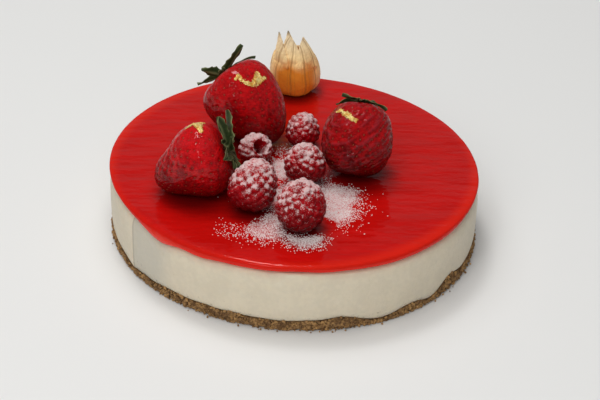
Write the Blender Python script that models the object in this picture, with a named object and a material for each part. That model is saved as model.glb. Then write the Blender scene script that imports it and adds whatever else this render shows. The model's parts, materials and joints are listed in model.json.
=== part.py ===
"""A round strawberry cheesecake: a biscuit base, a white cheese layer, a red jelly top and fruit.

Metres, +Z up. The origin is the middle of the underside, on the surface the cake stands on.
Headings turn anticlockwise from +X, seen from above, and -Y is the cake's front.
"""

import math
import random

import bmesh
import bpy
import numpy as np
from mathutils import Matrix, Vector

MM = 0.001
GAP = 0.3 * MM

# The cake
CAKE_RADIUS = 90 * MM
CAKE_HEIGHT = 36 * MM
OVAL_SHARE = 0.028
OVAL_HEADING = math.radians(-45)
WALL_SEGMENTS = 80
INNER_SHARE = 0.91

# The biscuit base: its thickness, its crags, its wall as (inset in crags, share of the height),
# and the humps and hollows of its edge as (heading in degrees, half width in degrees, rise)
BASE_THICKNESS = 4.6 * MM
BASE_CRAG = 0.7 * MM
BASE_EDGE_CRAG = 0.7 * MM
BASE_LEAST = 0.8 * MM
BASE_SHOULDER = 1.3 * MM
BASE_WALL = ((0.9, 0.35), (1.1, 0.75))
BASE_HUMPS = (
    (210, 5, -3.2 * MM),
    (221, 3, -1.8 * MM),
    (252, 3, 1.2 * MM),
    (284, 4, 1.8 * MM),
    (298, 6, -3.0 * MM),
    (316, 5, -3.4 * MM),
    (324, 4, 4.6 * MM),
)

# The cheese layer: its wall starts a little above and inside the base's edge, and is dented
CHEESE_FOOT = 0.6 * MM
CHEESE_FOOT_INSET = 0.26 * MM
CHEESE_MIDDLE = 0.55 * CAKE_HEIGHT
CHEESE_DENT = ((222, 10, -0.9 * MM),)

# The jelly: its edge is thick at the front, thin at the sides, and ran down in tongues. Its rim
# is rounded, as (inset in roundings, share of the edge's depth below the top)
JELLY_EDGE = 1.6 * MM
JELLY_EDGE_MORE = 2.6 * MM
JELLY_FRONT = math.radians(270)
FRONT_FROM = 0.35
FRONT_OVER = 0.3
JELLY_ROUND = 2.2 * MM
JELLY_RIM = ((0.0, 0.55), (0.25, 0.2), (1.0, 0.0))
JELLY_TONGUES = ((225, 6, 5.0 * MM), (241, 4, 1.9 * MM), (300, 8, 0.7 * MM))

# Strawberries
BERRY_AROUND = 24
BERRY_ALONG = 14
SEED_DIMPLE = 0.45 * MM
WAIST_AT = 0.3
WAIST_SPREAD = 0.22
LUMPS_AROUND = (2, 3, 5)
LUMP_SHARES = (0.01, 0.03)
CALYX_HOLLOW = 1.6 * MM
CALYX_SPREAD = 0.45
MERIDIAN_STEPS = 60
MERIDIAN_SHARE = 0.75

# Sepals, each widened by rows at (share of its length, share of its width)
SEPAL_THICKNESS = 0.45 * MM
SEPAL_CLEAR = 0.9 * MM
SEPAL_LEAST = 0.4
SEPAL_SPAN = 14 * MM
SEPAL_ROOT = 2.6 * MM
SEPAL_ROWS = ((0.48, 1.0), (0.78, 0.62))
SEPAL_ROOM = 0.42

# Gold leaf, as jagged plates let into the skin
GOLD_THICKNESS = 3 * MM
GOLD_STANDS = 0.45 * MM
GOLD_CORNERS = 9
GOLD_PULL = (0.55, 1.15)
SMALL_ANGLE = 0.05

# Raspberries
GOLDEN_ANGLE = math.pi * (3 - math.sqrt(5))
CELL_SHARE = 0.9
DRUPELET_RISE = 0.42
DRUPELET_INSET = 0.17
DRUPELET_WALL = 0.75
DRUPELET_CROWN = 0.35
DRUPELET_SHIFT = 0.06
TIP_SHARE = 0.58
TIP_TAPER = 0.12
ROUNDNESS = 0.9
PLAIN_BELOW = -0.3
MOUTH_SHARE = 0.6
CUP_SIDES = 12
CUP_MOUTH = 0.58
CUP_END = 0.32
CUP_DEPTH = 0.75
CUP_OUTSIDE = 0.3

# Cape gooseberry: the husk's outline as (radius, height), and its five lobes
HUSK_OUTLINE = (
    (8.2 * MM, 0.0 * MM),
    (11.4 * MM, 2.6 * MM),
    (13.2 * MM, 7.2 * MM),
    (13.4 * MM, 12.2 * MM),
    (12.0 * MM, 18.2 * MM),
    (9.6 * MM, 22.8 * MM),
    (8.2 * MM, 26.6 * MM),
)
HUSK_LOBES = 5
HUSK_COLUMNS = 6
HUSK_RIB = 0.05
HUSK_THICKNESS = 0.4 * MM
HUSK_DIMPLE = 0.4 * MM
HUSK_PLACE = (-0.4 * MM, 74 * MM)
LOBE_ROWS = 3
LOBE_HEIGHTS = (5.0 * MM, 5.0 * MM, 8.0 * MM, 8.0 * MM, 4.0 * MM)
HUSK_LEAN = -1.2 * MM
LOBE_LEAN = 0.18
LOBE_BOW = 2.4
GOOSEBERRY_RADIUS = 8.5 * MM
GOOSEBERRY_CLEAR = 1.0 * MM

COLOURS = {
    "biscuit": (0.30, 0.13, 0.045),
    "cheese": (0.78, 0.71, 0.58),
    "jelly": (0.62, 0.015, 0.012),
    "strawberry": (0.50, 0.008, 0.012),
    "leaf": (0.05, 0.12, 0.02),
    "raspberry": (0.45, 0.012, 0.035),
    "husk": (0.66, 0.46, 0.20),
    "gooseberry": (0.85, 0.36, 0.02),
}
ROUGHNESS = {"jelly": 0.12, "strawberry": 0.25, "gooseberry": 0.3}


def material(name):
    found = bpy.data.materials.get(name)
    if found:
        return found
    made = bpy.data.materials.new(name)
    made.use_nodes = True
    shader = made.node_tree.nodes["Principled BSDF"]
    shader.inputs["Base Color"].default_value = (*COLOURS[name], 1)
    shader.inputs["Roughness"].default_value = ROUGHNESS.get(name, 0.6)
    shader.inputs["Metallic"].default_value = 0
    return made


def object_from(name, bm, colour, smooth=True, closed=True):
    """A linked object with the shape of bm, which is freed."""
    mesh = bpy.data.meshes.new(name)
    if closed:
        bmesh.ops.recalc_face_normals(bm, faces=bm.faces[:])
    bm.to_mesh(mesh)
    bm.free()
    if smooth:
        mesh.shade_smooth()
    mesh.materials.append(material(colour))
    obj = bpy.data.objects.new(name, mesh)
    bpy.context.scene.collection.objects.link(obj)
    return obj


def applied(obj, modifier_type, **settings):
    """obj with one modifier added and applied."""
    modifier = obj.modifiers.new(modifier_type.title(), modifier_type)
    for key, value in settings.items():
        setattr(modifier, key, value)
    bpy.context.view_layer.update()
    graph = bpy.context.evaluated_depsgraph_get()
    mesh = bpy.data.meshes.new_from_object(obj.evaluated_get(graph))
    obj.modifiers.clear()
    old = obj.data
    obj.data = mesh
    bpy.data.meshes.remove(old)
    mesh.name = obj.name
    return obj


def joined(obj, extras, operation="UNION"):
    """obj united with, or cut by, all the extras, which are then removed."""
    group = bpy.data.collections.new("extras")
    bpy.context.scene.collection.children.link(group)
    for extra in extras:
        bpy.context.scene.collection.objects.unlink(extra)
        group.objects.link(extra)
    applied(
        obj,
        "BOOLEAN",
        operation=operation,
        operand_type="COLLECTION",
        collection=group,
        solver="MANIFOLD",
    )
    for extra in extras:
        bpy.data.objects.remove(extra)
    bpy.data.collections.remove(group)
    return obj


def turned_towards(direction):
    """The rotation that takes +Z to direction."""
    return Vector(direction).normalized().to_track_quat("Z", "Y").to_matrix()


def rest(obj, x, y, turn, height):
    """Turns obj, centres it over (x, y), and stands its lowest point at height."""
    points = [turn @ v.co for v in obj.data.vertices]
    lows = [min(p[i] for p in points) for i in range(3)]
    highs = [max(p[i] for p in points) for i in range(3)]
    obj.rotation_euler = turn.to_euler()
    obj.location = (
        x - (lows[0] + highs[0]) / 2,
        y - (lows[1] + highs[1]) / 2,
        height - lows[2],
    )
    return obj


def hump(heading, humps):
    """The sum of smooth humps at a heading, in metres."""
    total = 0.0
    for middle, half_width, rise in humps:
        off = (math.degrees(heading) - middle + 180) % 360 - 180
        total += rise * math.exp(-((off / half_width) ** 2))
    return total


def wall_radius(heading):
    return CAKE_RADIUS * (1 + OVAL_SHARE * math.cos(2 * (heading - OVAL_HEADING)))


def wall_headings():
    return [2 * math.pi * i / WALL_SEGMENTS for i in range(WALL_SEGMENTS)]


def base_edge_heights():
    """The base's height at the wall for each heading."""
    rng = random.Random(4)
    return [
        max(
            BASE_LEAST,
            BASE_THICKNESS
            + hump(heading, BASE_HUMPS)
            + rng.uniform(-BASE_EDGE_CRAG, BASE_EDGE_CRAG),
        )
        for heading in wall_headings()
    ]


def jelly_edge_depths():
    """How far the jelly reaches down the wall at each heading."""
    depths = []
    for heading in wall_headings():
        front = (math.cos(heading - JELLY_FRONT) - FRONT_FROM) / FRONT_OVER
        front = min(1.0, max(0.0, front))
        thick = JELLY_EDGE + JELLY_EDGE_MORE * front * front * (3 - 2 * front)
        depths.append(thick + hump(heading, JELLY_TONGUES))
    return depths


def ring(bm, radii, heights):
    points = zip(wall_headings(), radii, heights)
    return [bm.verts.new((r * math.cos(a), r * math.sin(a), z)) for a, r, z in points]


def band(bm, first, second, diagonal_back=False):
    """Triangles between two rings. The diagonal can be laid the other way, so that two
    surfaces that face each other across a gap are split alike."""
    for i in range(len(first)):
        j = (i + 1) % len(first)
        if diagonal_back:
            bm.faces.new((first[i], first[j], second[i]))
            bm.faces.new((first[j], second[j], second[i]))
        else:
            bm.faces.new((first[i], first[j], second[j]))
            bm.faces.new((first[i], second[j], second[i]))


def fan(bm, edge, height):
    middle = bm.verts.new((0, 0, height))
    for i in range(len(edge)):
        bm.faces.new((edge[i], edge[(i + 1) % len(edge)], middle))


def layer(name, colour, rings, under_height, upper_height, under_rings=0, smooth=True):
    """A disc, whose rings run out from its underside's middle, up its wall and in to the middle
    of its top. Its underside's last band copies the split of the surface it lies on."""
    bm = bmesh.new()
    made = [ring(bm, radii, heights) for radii, heights in rings]
    fan(bm, made[0], under_height)
    for i in range(len(made) - 1):
        band(bm, made[i], made[i + 1], diagonal_back=i == under_rings - 2)
    fan(bm, made[-1], upper_height)
    return object_from(name, bm, colour, smooth)


def constant(value):
    return [value] * WALL_SEGMENTS


def cake_layers():
    headings = wall_headings()
    walls = [wall_radius(heading) for heading in headings]
    dented = [w + hump(a, CHEESE_DENT) for a, w in zip(headings, walls)]
    inner = [w * INNER_SHARE for w in walls]
    rim = [w - BASE_SHOULDER for w in walls]
    rng = random.Random(7)

    def craggy(inset):
        return [w - inset + rng.uniform(-BASE_CRAG, BASE_CRAG) for w in walls]

    edge = base_edge_heights()
    layer(
        "crust_base",
        "biscuit",
        [
            (rim, constant(0)),
            *((craggy(inset * BASE_CRAG), [share * z for z in edge]) for inset, share in BASE_WALL),
            (rim, edge),
            (inner, constant(BASE_THICKNESS)),
        ],
        under_height=0,
        upper_height=BASE_THICKNESS,
        smooth=False,
    )
    depths = jelly_edge_depths()
    jelly_edge = [CAKE_HEIGHT - depth for depth in depths]
    jelly_floor = CAKE_HEIGHT - JELLY_EDGE - JELLY_EDGE_MORE
    layer(
        "cream_filling",
        "cheese",
        [
            (inner, constant(BASE_THICKNESS + GAP)),
            (rim, [z + GAP for z in edge]),
            ([w - CHEESE_FOOT_INSET for w in walls], [z + GAP + CHEESE_FOOT for z in edge]),
            (dented, constant(CHEESE_MIDDLE)),
            (dented, [z - GAP for z in jelly_edge]),
            (inner, constant(jelly_floor - GAP)),
        ],
        under_height=BASE_THICKNESS + GAP,
        upper_height=jelly_floor - GAP,
        under_rings=2,
    )
    layer(
        "strawberry_jelly",
        "jelly",
        [
            (inner, constant(jelly_floor)),
            (dented, jelly_edge),
            *(
                ([w - inset * JELLY_ROUND for w in walls], [CAKE_HEIGHT - share * d for d in depths])
                for inset, share in JELLY_RIM
            ),
        ],
        under_height=jelly_floor,
        upper_height=CAKE_HEIGHT,
        under_rings=2,
    )


class Strawberry:
    """A conical strawberry along +Z, tip down, with its calyx at the top."""

    def __init__(self, name, width, length, taper, blunt, waist, direction, seed):
        self.name = name
        self.radius = width / 2
        self.length = length
        self.taper = taper
        self.blunt = blunt
        self.waist = waist
        self.widest = taper / (taper + blunt)
        self.turn = turned_towards(direction)
        self.seed = seed

    def heading(self, towards):
        """The angle about the strawberry's own axis that looks towards a direction."""
        seen = self.turn.inverted() @ Vector(towards)
        return math.atan2(seen.y, seen.x)

    def outline(self, polar):
        """(radius, height) at an angle that runs from 0 at the tip to pi at the calyx."""
        t = (1 - math.cos(polar)) / 2
        peak = self.widest**self.taper * (1 - self.widest) ** self.blunt
        radius = self.radius * t**self.taper * (1 - t) ** self.blunt / peak
        radius *= 1 - self.waist * math.exp(-(((t - WAIST_AT) / WAIST_SPREAD) ** 2))
        hollow = CALYX_HOLLOW * max(0.0, 1 - radius / (CALYX_SPREAD * self.radius)) ** 2
        return radius, self.length * (t - 0.5) - (hollow if t > 0.5 else 0.0)

    def body(self):
        rng = random.Random(self.seed)
        lumps = [(k, rng.uniform(0, math.tau), rng.uniform(*LUMP_SHARES)) for k in LUMPS_AROUND]
        bm = bmesh.new()
        bmesh.ops.create_uvsphere(
            bm, u_segments=BERRY_AROUND, v_segments=BERRY_ALONG, radius=1
        )
        for v in bm.verts:
            polar = math.pi - math.acos(max(-1.0, min(1.0, v.co.z)))
            around = math.atan2(v.co.y, v.co.x)
            radius, height = self.outline(polar)
            radius *= 1 + sum(s * math.sin(k * around + p) for k, p, s in lumps)
            row = round(polar / math.pi * BERRY_ALONG)
            column = round(around / math.tau * BERRY_AROUND)
            if (row + column) % 2 and 1 < row < BERRY_ALONG - 1:
                radius -= SEED_DIMPLE
            v.co = (radius * math.cos(around), radius * math.sin(around), height)
        bmesh.ops.triangulate(bm, faces=bm.faces[:])
        return object_from(self.name, bm, "strawberry")

    def meridian(self):
        """The shoulder from the calyx down, as rows of distances, radii, heights and the
        normal's two parts."""
        points = []
        for i in range(MERIDIAN_STEPS + 1):
            share = MERIDIAN_SHARE * i / MERIDIAN_STEPS
            points.append(Vector(self.outline(math.pi * (1 - share))))
        found = []
        gone = 0.0
        for here, after in zip(points, points[1:]):
            along = after - here
            found.append((gone, here.x, here.y, *Vector((-along.y, along.x)).normalized()))
            gone += along.length
        return list(zip(*found))

    def calyx(self, sepals):
        """A leafy star. Each sepal is (towards, length, half width, lift, twist, rise). With no
        rise it follows the shoulder, lifted off it more and more. With a rise, in degrees, it
        stands straight out from the calyx. A twist lifts its one edge over the other."""
        distances, *shoulder = self.meridian()
        sepals = sorted(sepals, key=lambda sepal: self.heading(sepal[0]))
        bm = bmesh.new()

        def place(distance, heading, sideways=0.0, lift=0.0, twist=0.0, rise=None, room=math.tau):
            radius, height, out, up = (np.interp(distance, distances, row) for row in shoulder)
            normal = Vector((out, up)).normalized()
            off = SEPAL_CLEAR + lift * (distance / SEPAL_SPAN) ** 2
            if rise is not None and distance > SEPAL_ROOT:
                slope = math.radians(rise)
                radius = distance * math.cos(slope)
                height = self.length / 2 + distance * math.sin(slope)
                normal = Vector((-math.sin(slope), math.cos(slope)))
                off = SEPAL_CLEAR
            spread = sideways / max(radius, SEPAL_ROOT)
            spread = max(-SEPAL_ROOM * room, min(SEPAL_ROOM * room, spread))
            angle = heading + spread
            off = max(SEPAL_LEAST * off, off + twist * sideways)
            r = radius + normal.x * off
            z = height + normal.y * off
            return bm.verts.new((r * math.cos(angle), r * math.sin(angle), z))

        headings = [self.heading(sepal[0]) for sepal in sepals]
        count = len(sepals)
        gaps = [(headings[k] - headings[k - 1]) % math.tau for k in range(count)]
        corners = [place(SEPAL_ROOT, headings[k] - gaps[k] / 2) for k in range(count)]
        middle = place(0, 0)
        for k, (_, length, half_width, lift, twist, rise) in enumerate(sepals):
            left, right = corners[k], corners[(k + 1) % count]
            rib = place(SEPAL_ROOT, headings[k])
            bm.faces.new((middle, left, rib))
            bm.faces.new((middle, rib, right))
            row = (left, rib, right)
            rooms = {-1: gaps[k], 0: 0.0, 1: gaps[(k + 1) % count]}
            for share, breadth in SEPAL_ROWS:
                new = [
                    place(
                        length * share,
                        headings[k],
                        side * half_width * breadth,
                        lift,
                        twist,
                        rise,
                        room,
                    )
                    for side, room in rooms.items()
                ]
                for a, b in ((0, 1), (1, 2)):
                    bm.faces.new((row[a], new[a], new[b]))
                    bm.faces.new((row[a], new[b], row[b]))
                row = new
            tip = place(length, headings[k], 0, lift, 0, rise)
            bm.faces.new((row[0], tip, row[1]))
            bm.faces.new((row[1], tip, row[2]))
        leaf = object_from(self.name + "_calyx", bm, "leaf")
        return applied(leaf, "SOLIDIFY", thickness=SEPAL_THICKNESS, offset=1)

    def gold(self, polar, towards, size, seed):
        """A jagged plate let into the skin, so that a thin face of it stands proud."""
        rng = random.Random(seed)
        heading = self.heading(towards)
        bm = bmesh.new()
        bmesh.ops.create_cone(
            bm,
            cap_ends=True,
            segments=GOLD_CORNERS,
            radius1=size,
            radius2=size,
            depth=GOLD_THICKNESS,
        )
        pulls = [rng.uniform(*GOLD_PULL) for _ in range(GOLD_CORNERS)]
        for v in bm.verts:
            corner = round(math.atan2(v.co.y, v.co.x) / math.tau * GOLD_CORNERS)
            v.co.xy *= pulls[corner % GOLD_CORNERS]
        radius, height = self.outline(polar)
        ahead = Vector(self.outline(polar + SMALL_ANGLE)) - Vector((radius, height))
        normal = Vector((ahead.y, -ahead.x)).normalized()
        out = normal.x * Vector((math.cos(heading), math.sin(heading), 0))
        out += Vector((0, 0, normal.y))
        spot = Vector((radius * math.cos(heading), radius * math.sin(heading), height))
        spot += out * (GOLD_STANDS - GOLD_THICKNESS / 2)
        turn = turned_towards(out).to_4x4()
        bmesh.ops.transform(bm, matrix=Matrix.Translation(spot) @ turn, verts=bm.verts)
        bmesh.ops.triangulate(bm, faces=bm.faces[:])
        return object_from("gold", bm, "strawberry")


def strawberry(name, x, y, sepals, gold, **shape):
    """A strawberry resting on the jelly, with gold leaf on its skin and its calyx on it."""
    kind = Strawberry(name, **shape)
    flakes = [kind.gold(*spot, seed=kind.seed + i) for i, spot in enumerate(gold)]
    body = joined(kind.body(), flakes)
    rest(body, x, y, kind.turn, CAKE_HEIGHT + GAP)
    leaves = kind.calyx(sepals)
    leaves.parent = body


def strawberries():
    strawberry(
        "strawberry_back",
        x=-24.5 * MM,
        y=26.0 * MM,
        width=36.8 * MM,
        length=41.5 * MM,
        taper=0.52,
        blunt=0.21,
        waist=0.0,
        direction=(-0.64, 0.54, 0.54),
        seed=11,
        sepals=(
            ((-0.8, -0.4, -0.5), 14 * MM, 1.5 * MM, 0, 0.4, 18),
            ((-0.6, -0.8, 0.1), 13 * MM, 2.8 * MM, 0, 0.4, 34),
            ((-0.4, 0.4, -0.8), 11 * MM, 2.4 * MM, 1.0 * MM, 0, None),
            ((-0.3, 0.9, -0.3), 12 * MM, 2.6 * MM, 2.0 * MM, 0, None),
            ((0.6, 0.0, 0.8), 19 * MM, 2.4 * MM, 0, -0.4, 10),
            ((0.5, 0.9, 0.0), 13 * MM, 2.4 * MM, 2.0 * MM, 0, None),
            ((0.8, 0.5, 0.4), 17 * MM, 1.2 * MM, 1.0 * MM, 0, None),
            ((0.0, -0.7, 0.7), 9 * MM, 2.4 * MM, 0.5 * MM, 0, None),
        ),
        gold=(
            (1.95, (-0.1, -0.6, 1.0), 2.4 * MM),
            (1.75, (0.1, -0.6, 1.0), 2.4 * MM),
            (1.65, (0.35, -0.6, 1.0), 3.0 * MM),
        ),
    )
    strawberry(
        "strawberry_left",
        x=-46.3 * MM,
        y=-27.6 * MM,
        width=36.2 * MM,
        length=37.6 * MM,
        taper=0.60,
        blunt=0.28,
        waist=0.14,
        direction=(0.88, 0.04, 0.47),
        seed=12,
        sepals=(
            ((-0.3, 0.4, 1.0), 16 * MM, 2.4 * MM, 0, -0.9, 6),
            ((-0.1, 0.8, 0.6), 20 * MM, 3.2 * MM, 0, 0.9, 14),
            ((0.1, 1.0, -0.2), 12 * MM, 2.8 * MM, 1.0 * MM, 0, None),
            ((0.4, 0.5, -1.0), 11 * MM, 2.6 * MM, 1.0 * MM, 0, None),
            ((0.4, -0.3, -1.0), 12 * MM, 2.6 * MM, 1.0 * MM, 0, None),
            ((0.3, -0.9, -0.5), 11 * MM, 2.8 * MM, 1.0 * MM, 0, None),
            ((-0.3, -1.0, 0.1), 16 * MM, 3.2 * MM, 2.0 * MM, 0, None),
            ((0.0, -0.5, 0.8), 11 * MM, 3.0 * MM, 0, 0, 32),
        ),
        gold=((1.95, (0.0, -0.55, 1), 3.0 * MM), (2.0, (-0.3, -0.2, 1), 3.0 * MM)),
    )
    strawberry(
        "strawberry_right",
        x=30.3 * MM,
        y=-8.2 * MM,
        width=33.2 * MM,
        length=34.4 * MM,
        taper=0.28,
        blunt=0.31,
        waist=0.0,
        direction=(0.12, 0.64, 0.76),
        seed=13,
        sepals=(
            ((-1.0, 0.3, 0.0), 12 * MM, 2.2 * MM, 0.5 * MM, 0, None),
            ((-0.9, 0.0, 0.6), 12 * MM, 2.4 * MM, 0, 0, 4),
            ((-0.1, -0.5, 0.8), 9 * MM, 2.2 * MM, 0.5 * MM, 0, None),
            ((0.6, -0.3, 0.7), 12 * MM, 2.2 * MM, 0.5 * MM, 0, None),
            ((1.0, 0.0, 0.0), 13 * MM, 2.0 * MM, 0.5 * MM, 0, None),
            ((0.8, 0.6, -0.7), 11 * MM, 2.4 * MM, 0.5 * MM, 0, None),
            ((0.0, 0.8, -0.9), 10 * MM, 2.4 * MM, 0.5 * MM, 0, None),
            ((-0.8, 0.6, -0.5), 10 * MM, 2.4 * MM, 0.5 * MM, 0, None),
        ),
        gold=((2.1, (-0.3, -0.6, 0.8), 2.4 * MM), (1.98, (-0.1, -0.8, 0.8), 2.2 * MM)),
    )


def faces_round(vert):
    """The faces that meet at vert, in their order round it."""
    loop = vert.link_loops[0]
    faces = []
    while not faces or loop.face is not faces[0]:
        faces.append(loop.face)
        loop = loop.link_loop_prev.link_loop_radial_next
    return faces


def raspberry(name, width, length, drupelet, x, y, direction, seed, hollow=False):
    """A raspberry whose tip points to direction, each drupelet a low dome. The domes sit in a
    spiral, and the underside, which nobody sees, is left plain."""
    rng = random.Random(seed)
    dome = DRUPELET_RISE * drupelet
    reach = width / 2 - dome
    above = TIP_SHARE * length - dome
    below = (1 - TIP_SHARE) * length - dome
    count = round(4 * math.pi * reach * (above + below) / 2 / (CELL_SHARE * drupelet**2))
    hull = bmesh.new()
    for i in range(count):
        rise = 1 - 2 * (i + 0.5) / count
        around = i * GOLDEN_ANGLE
        radius = reach * math.sqrt(1 - rise * rise) ** ROUNDNESS
        radius *= 1 - TIP_TAPER * max(0.0, rise)
        spot = Vector((radius * math.cos(around), radius * math.sin(around), 0))
        spot.z = rise * (above if rise > 0 else below)
        shift = Vector([rng.uniform(-1, 1) for _ in range(3)]) * DRUPELET_SHIFT * drupelet
        hull.verts.new(spot + shift)
    bmesh.ops.convex_hull(hull, input=hull.verts[:])
    bmesh.ops.recalc_face_normals(hull, faces=hull.faces[:])
    bm = bmesh.new()
    corner = {face: bm.verts.new(face.calc_center_median()) for face in hull.faces}
    cells = [
        bm.faces.new([corner[face] for face in faces_round(vert)])
        for vert in hull.verts
        if vert.link_faces
    ]
    hull.free()
    bmesh.ops.recalc_face_normals(bm, faces=cells)
    turn = turned_towards(direction)
    domes = []
    for cell in cells:
        in_mouth = hollow and cell.calc_center_median().z < -MOUTH_SHARE * below
        if (turn @ cell.normal).z > PLAIN_BELOW and not in_mouth:
            domes.append(cell)
    bmesh.ops.inset_individual(
        bm, faces=domes, thickness=DRUPELET_INSET * drupelet, depth=DRUPELET_WALL * dome
    )
    bmesh.ops.poke(bm, faces=domes, offset=DRUPELET_CROWN * dome)
    bmesh.ops.triangulate(bm, faces=bm.faces[:])
    berry = object_from(name, bm, "raspberry")
    if hollow:
        joined(berry, [cup(reach, length, -below)], "DIFFERENCE")
    return rest(berry, x, y, turn, CAKE_HEIGHT + GAP)


def cup(reach, length, floor):
    """The cutter for the space that the plug leaves in a picked raspberry."""
    depth = CUP_DEPTH * length
    bm = bmesh.new()
    bmesh.ops.create_cone(
        bm,
        cap_ends=True,
        segments=CUP_SIDES,
        radius1=CUP_MOUTH * reach,
        radius2=CUP_END * reach,
        depth=depth,
    )
    bmesh.ops.translate(bm, vec=(0, 0, floor + (0.5 - CUP_OUTSIDE) * depth), verts=bm.verts)
    cutter = object_from("cup", bm, "raspberry")
    cutter.hide_render = True
    cutter.display_type = "WIRE"
    return cutter


def raspberries():
    raspberry(
        "raspberry_hollow",
        width=18.4 * MM,
        length=17 * MM,
        drupelet=3.3 * MM,
        x=-18.4 * MM,
        y=-1.2 * MM,
        direction=(-0.43, 0.57, -0.62),
        seed=21,
        hollow=True,
    )
    raspberry(
        "raspberry_back",
        width=18.2 * MM,
        length=20 * MM,
        drupelet=3.3 * MM,
        x=4.3 * MM,
        y=17 * MM,
        direction=(0.05, -0.12, 1),
        seed=22,
    )
    raspberry(
        "raspberry_middle",
        width=21.2 * MM,
        length=24 * MM,
        drupelet=3.6 * MM,
        x=5.6 * MM,
        y=-18.0 * MM,
        direction=(-0.05, -0.25, 0.95),
        seed=23,
    )
    raspberry(
        "raspberry_left",
        width=24 * MM,
        length=28.5 * MM,
        drupelet=3.8 * MM,
        x=-18.7 * MM,
        y=-42.4 * MM,
        direction=(0.30, 0.15, 0.95),
        seed=24,
    )
    raspberry(
        "raspberry_front",
        width=25 * MM,
        length=29 * MM,
        drupelet=3.8 * MM,
        x=3.8 * MM,
        y=-58.4 * MM,
        direction=(0.10, -0.25, 0.95),
        seed=35,
    )


def husk_radius(radius, angle):
    """The husk's radius at an angle: swollen between its ribs."""
    return radius * (1 + HUSK_RIB * math.cos(HUSK_LOBES * angle))


def husk():
    """The papery husk: a ribbed bag, open at the top between five pointed lobes."""
    columns = HUSK_LOBES * HUSK_COLUMNS
    bm = bmesh.new()
    rows = []
    for radius, height in HUSK_OUTLINE:
        row = []
        for i in range(columns):
            angle = math.tau * i / columns
            r = husk_radius(radius, angle)
            row.append(bm.verts.new((r * math.cos(angle), r * math.sin(angle), height)))
        rows.append(row)
    for first, second in zip(rows, rows[1:]):
        band(bm, first, second)
    fan(bm, rows[0][::-1], HUSK_DIMPLE)
    top_radius, top_height = HUSK_OUTLINE[-1]
    for lobe, rise in enumerate(LOBE_HEIGHTS):
        first = lobe * HUSK_COLUMNS
        row = [rows[-1][(first + i) % columns] for i in range(HUSK_COLUMNS + 1)]
        middle = math.tau * (first + HUSK_COLUMNS / 2) / columns
        for step in range(1, LOBE_ROWS + 1):
            share = step / LOBE_ROWS
            width = math.tau / HUSK_LOBES * (1 - share)
            count = HUSK_COLUMNS - 2 * step
            radius = husk_radius(top_radius, middle) * (1 - LOBE_LEAN * math.sin(LOBE_BOW * share))
            new = []
            for i in range(count + 1):
                angle = middle + width * ((i / count if count else 0.5) - 0.5)
                z = top_height + rise * share
                new.append(bm.verts.new((radius * math.cos(angle), radius * math.sin(angle), z)))
            bm.faces.new((row[0], row[1], new[0]))
            for i in range(count):
                bm.faces.new((row[i + 1], row[i + 2], new[i + 1]))
                bm.faces.new((row[i + 1], new[i + 1], new[i]))
            bm.faces.new((row[-2], row[-1], new[-1]))
            row = new
    for v in bm.verts:
        v.co.x += HUSK_LEAN * (v.co.z / top_height) ** 2
    shell = object_from("physalis_husk", bm, "husk", closed=False)
    applied(shell, "SOLIDIFY", thickness=HUSK_THICKNESS, offset=-1)
    shell.location = (*HUSK_PLACE, CAKE_HEIGHT + GAP)
    return shell


def gooseberry():
    bm = bmesh.new()
    bmesh.ops.create_uvsphere(bm, u_segments=14, v_segments=8, radius=GOOSEBERRY_RADIUS)
    berry = object_from("physalis_berry", bm, "gooseberry")
    floor = CAKE_HEIGHT + GAP + HUSK_THICKNESS
    berry.location = (*HUSK_PLACE, floor + GOOSEBERRY_CLEAR + GOOSEBERRY_RADIUS)
    return berry


def main():
    for obj in list(bpy.data.objects):
        bpy.data.objects.remove(obj)
    cake_layers()
    strawberries()
    raspberries()
    husk()
    gooseberry()


main()
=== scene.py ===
import json
import math
import random

import bpy
import numpy as np
from bpy.props import FloatProperty, FloatVectorProperty, IntProperty, PointerProperty
from mathutils import Matrix, Vector, kdtree, noise

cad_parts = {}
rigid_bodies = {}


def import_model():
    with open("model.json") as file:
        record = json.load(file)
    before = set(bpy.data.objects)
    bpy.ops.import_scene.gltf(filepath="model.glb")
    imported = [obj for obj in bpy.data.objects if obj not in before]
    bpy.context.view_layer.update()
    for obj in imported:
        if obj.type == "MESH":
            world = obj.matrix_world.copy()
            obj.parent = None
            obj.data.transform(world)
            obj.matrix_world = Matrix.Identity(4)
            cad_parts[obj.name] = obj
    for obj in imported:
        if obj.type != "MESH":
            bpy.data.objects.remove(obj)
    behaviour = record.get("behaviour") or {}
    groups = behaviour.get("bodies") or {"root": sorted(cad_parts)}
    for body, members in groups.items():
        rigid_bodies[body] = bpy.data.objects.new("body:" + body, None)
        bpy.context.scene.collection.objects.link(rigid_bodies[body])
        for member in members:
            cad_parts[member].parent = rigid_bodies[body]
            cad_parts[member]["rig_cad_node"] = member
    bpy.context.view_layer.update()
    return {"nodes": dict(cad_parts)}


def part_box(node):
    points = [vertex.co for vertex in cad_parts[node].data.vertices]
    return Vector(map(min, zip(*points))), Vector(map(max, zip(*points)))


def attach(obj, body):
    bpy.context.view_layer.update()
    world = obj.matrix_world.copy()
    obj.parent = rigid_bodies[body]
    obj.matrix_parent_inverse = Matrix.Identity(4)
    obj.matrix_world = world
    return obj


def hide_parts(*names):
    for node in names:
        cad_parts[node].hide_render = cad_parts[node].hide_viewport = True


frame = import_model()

bl_info = {
    "name": "Strawberry Cheesecake",
    "version": (1, 0, 0),
    "blender": (4, 5, 0),
    "location": "3D View > Sidebar > Cheesecake",
    "description": "Dresses a cheesecake's solids with crumb, cheese, jelly, fruit, gold leaf and sugar",
    "category": "Object",
}

MM = 0.001
GOLDEN_ANGLE = math.pi * (3 - math.sqrt(5))
JELLY_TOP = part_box("strawberry_jelly")[1].z
UP = Vector((0, 0, 1))


def length_property(name, description, default):
    return FloatProperty(name=name, description=description, default=default, unit="LENGTH")


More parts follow.
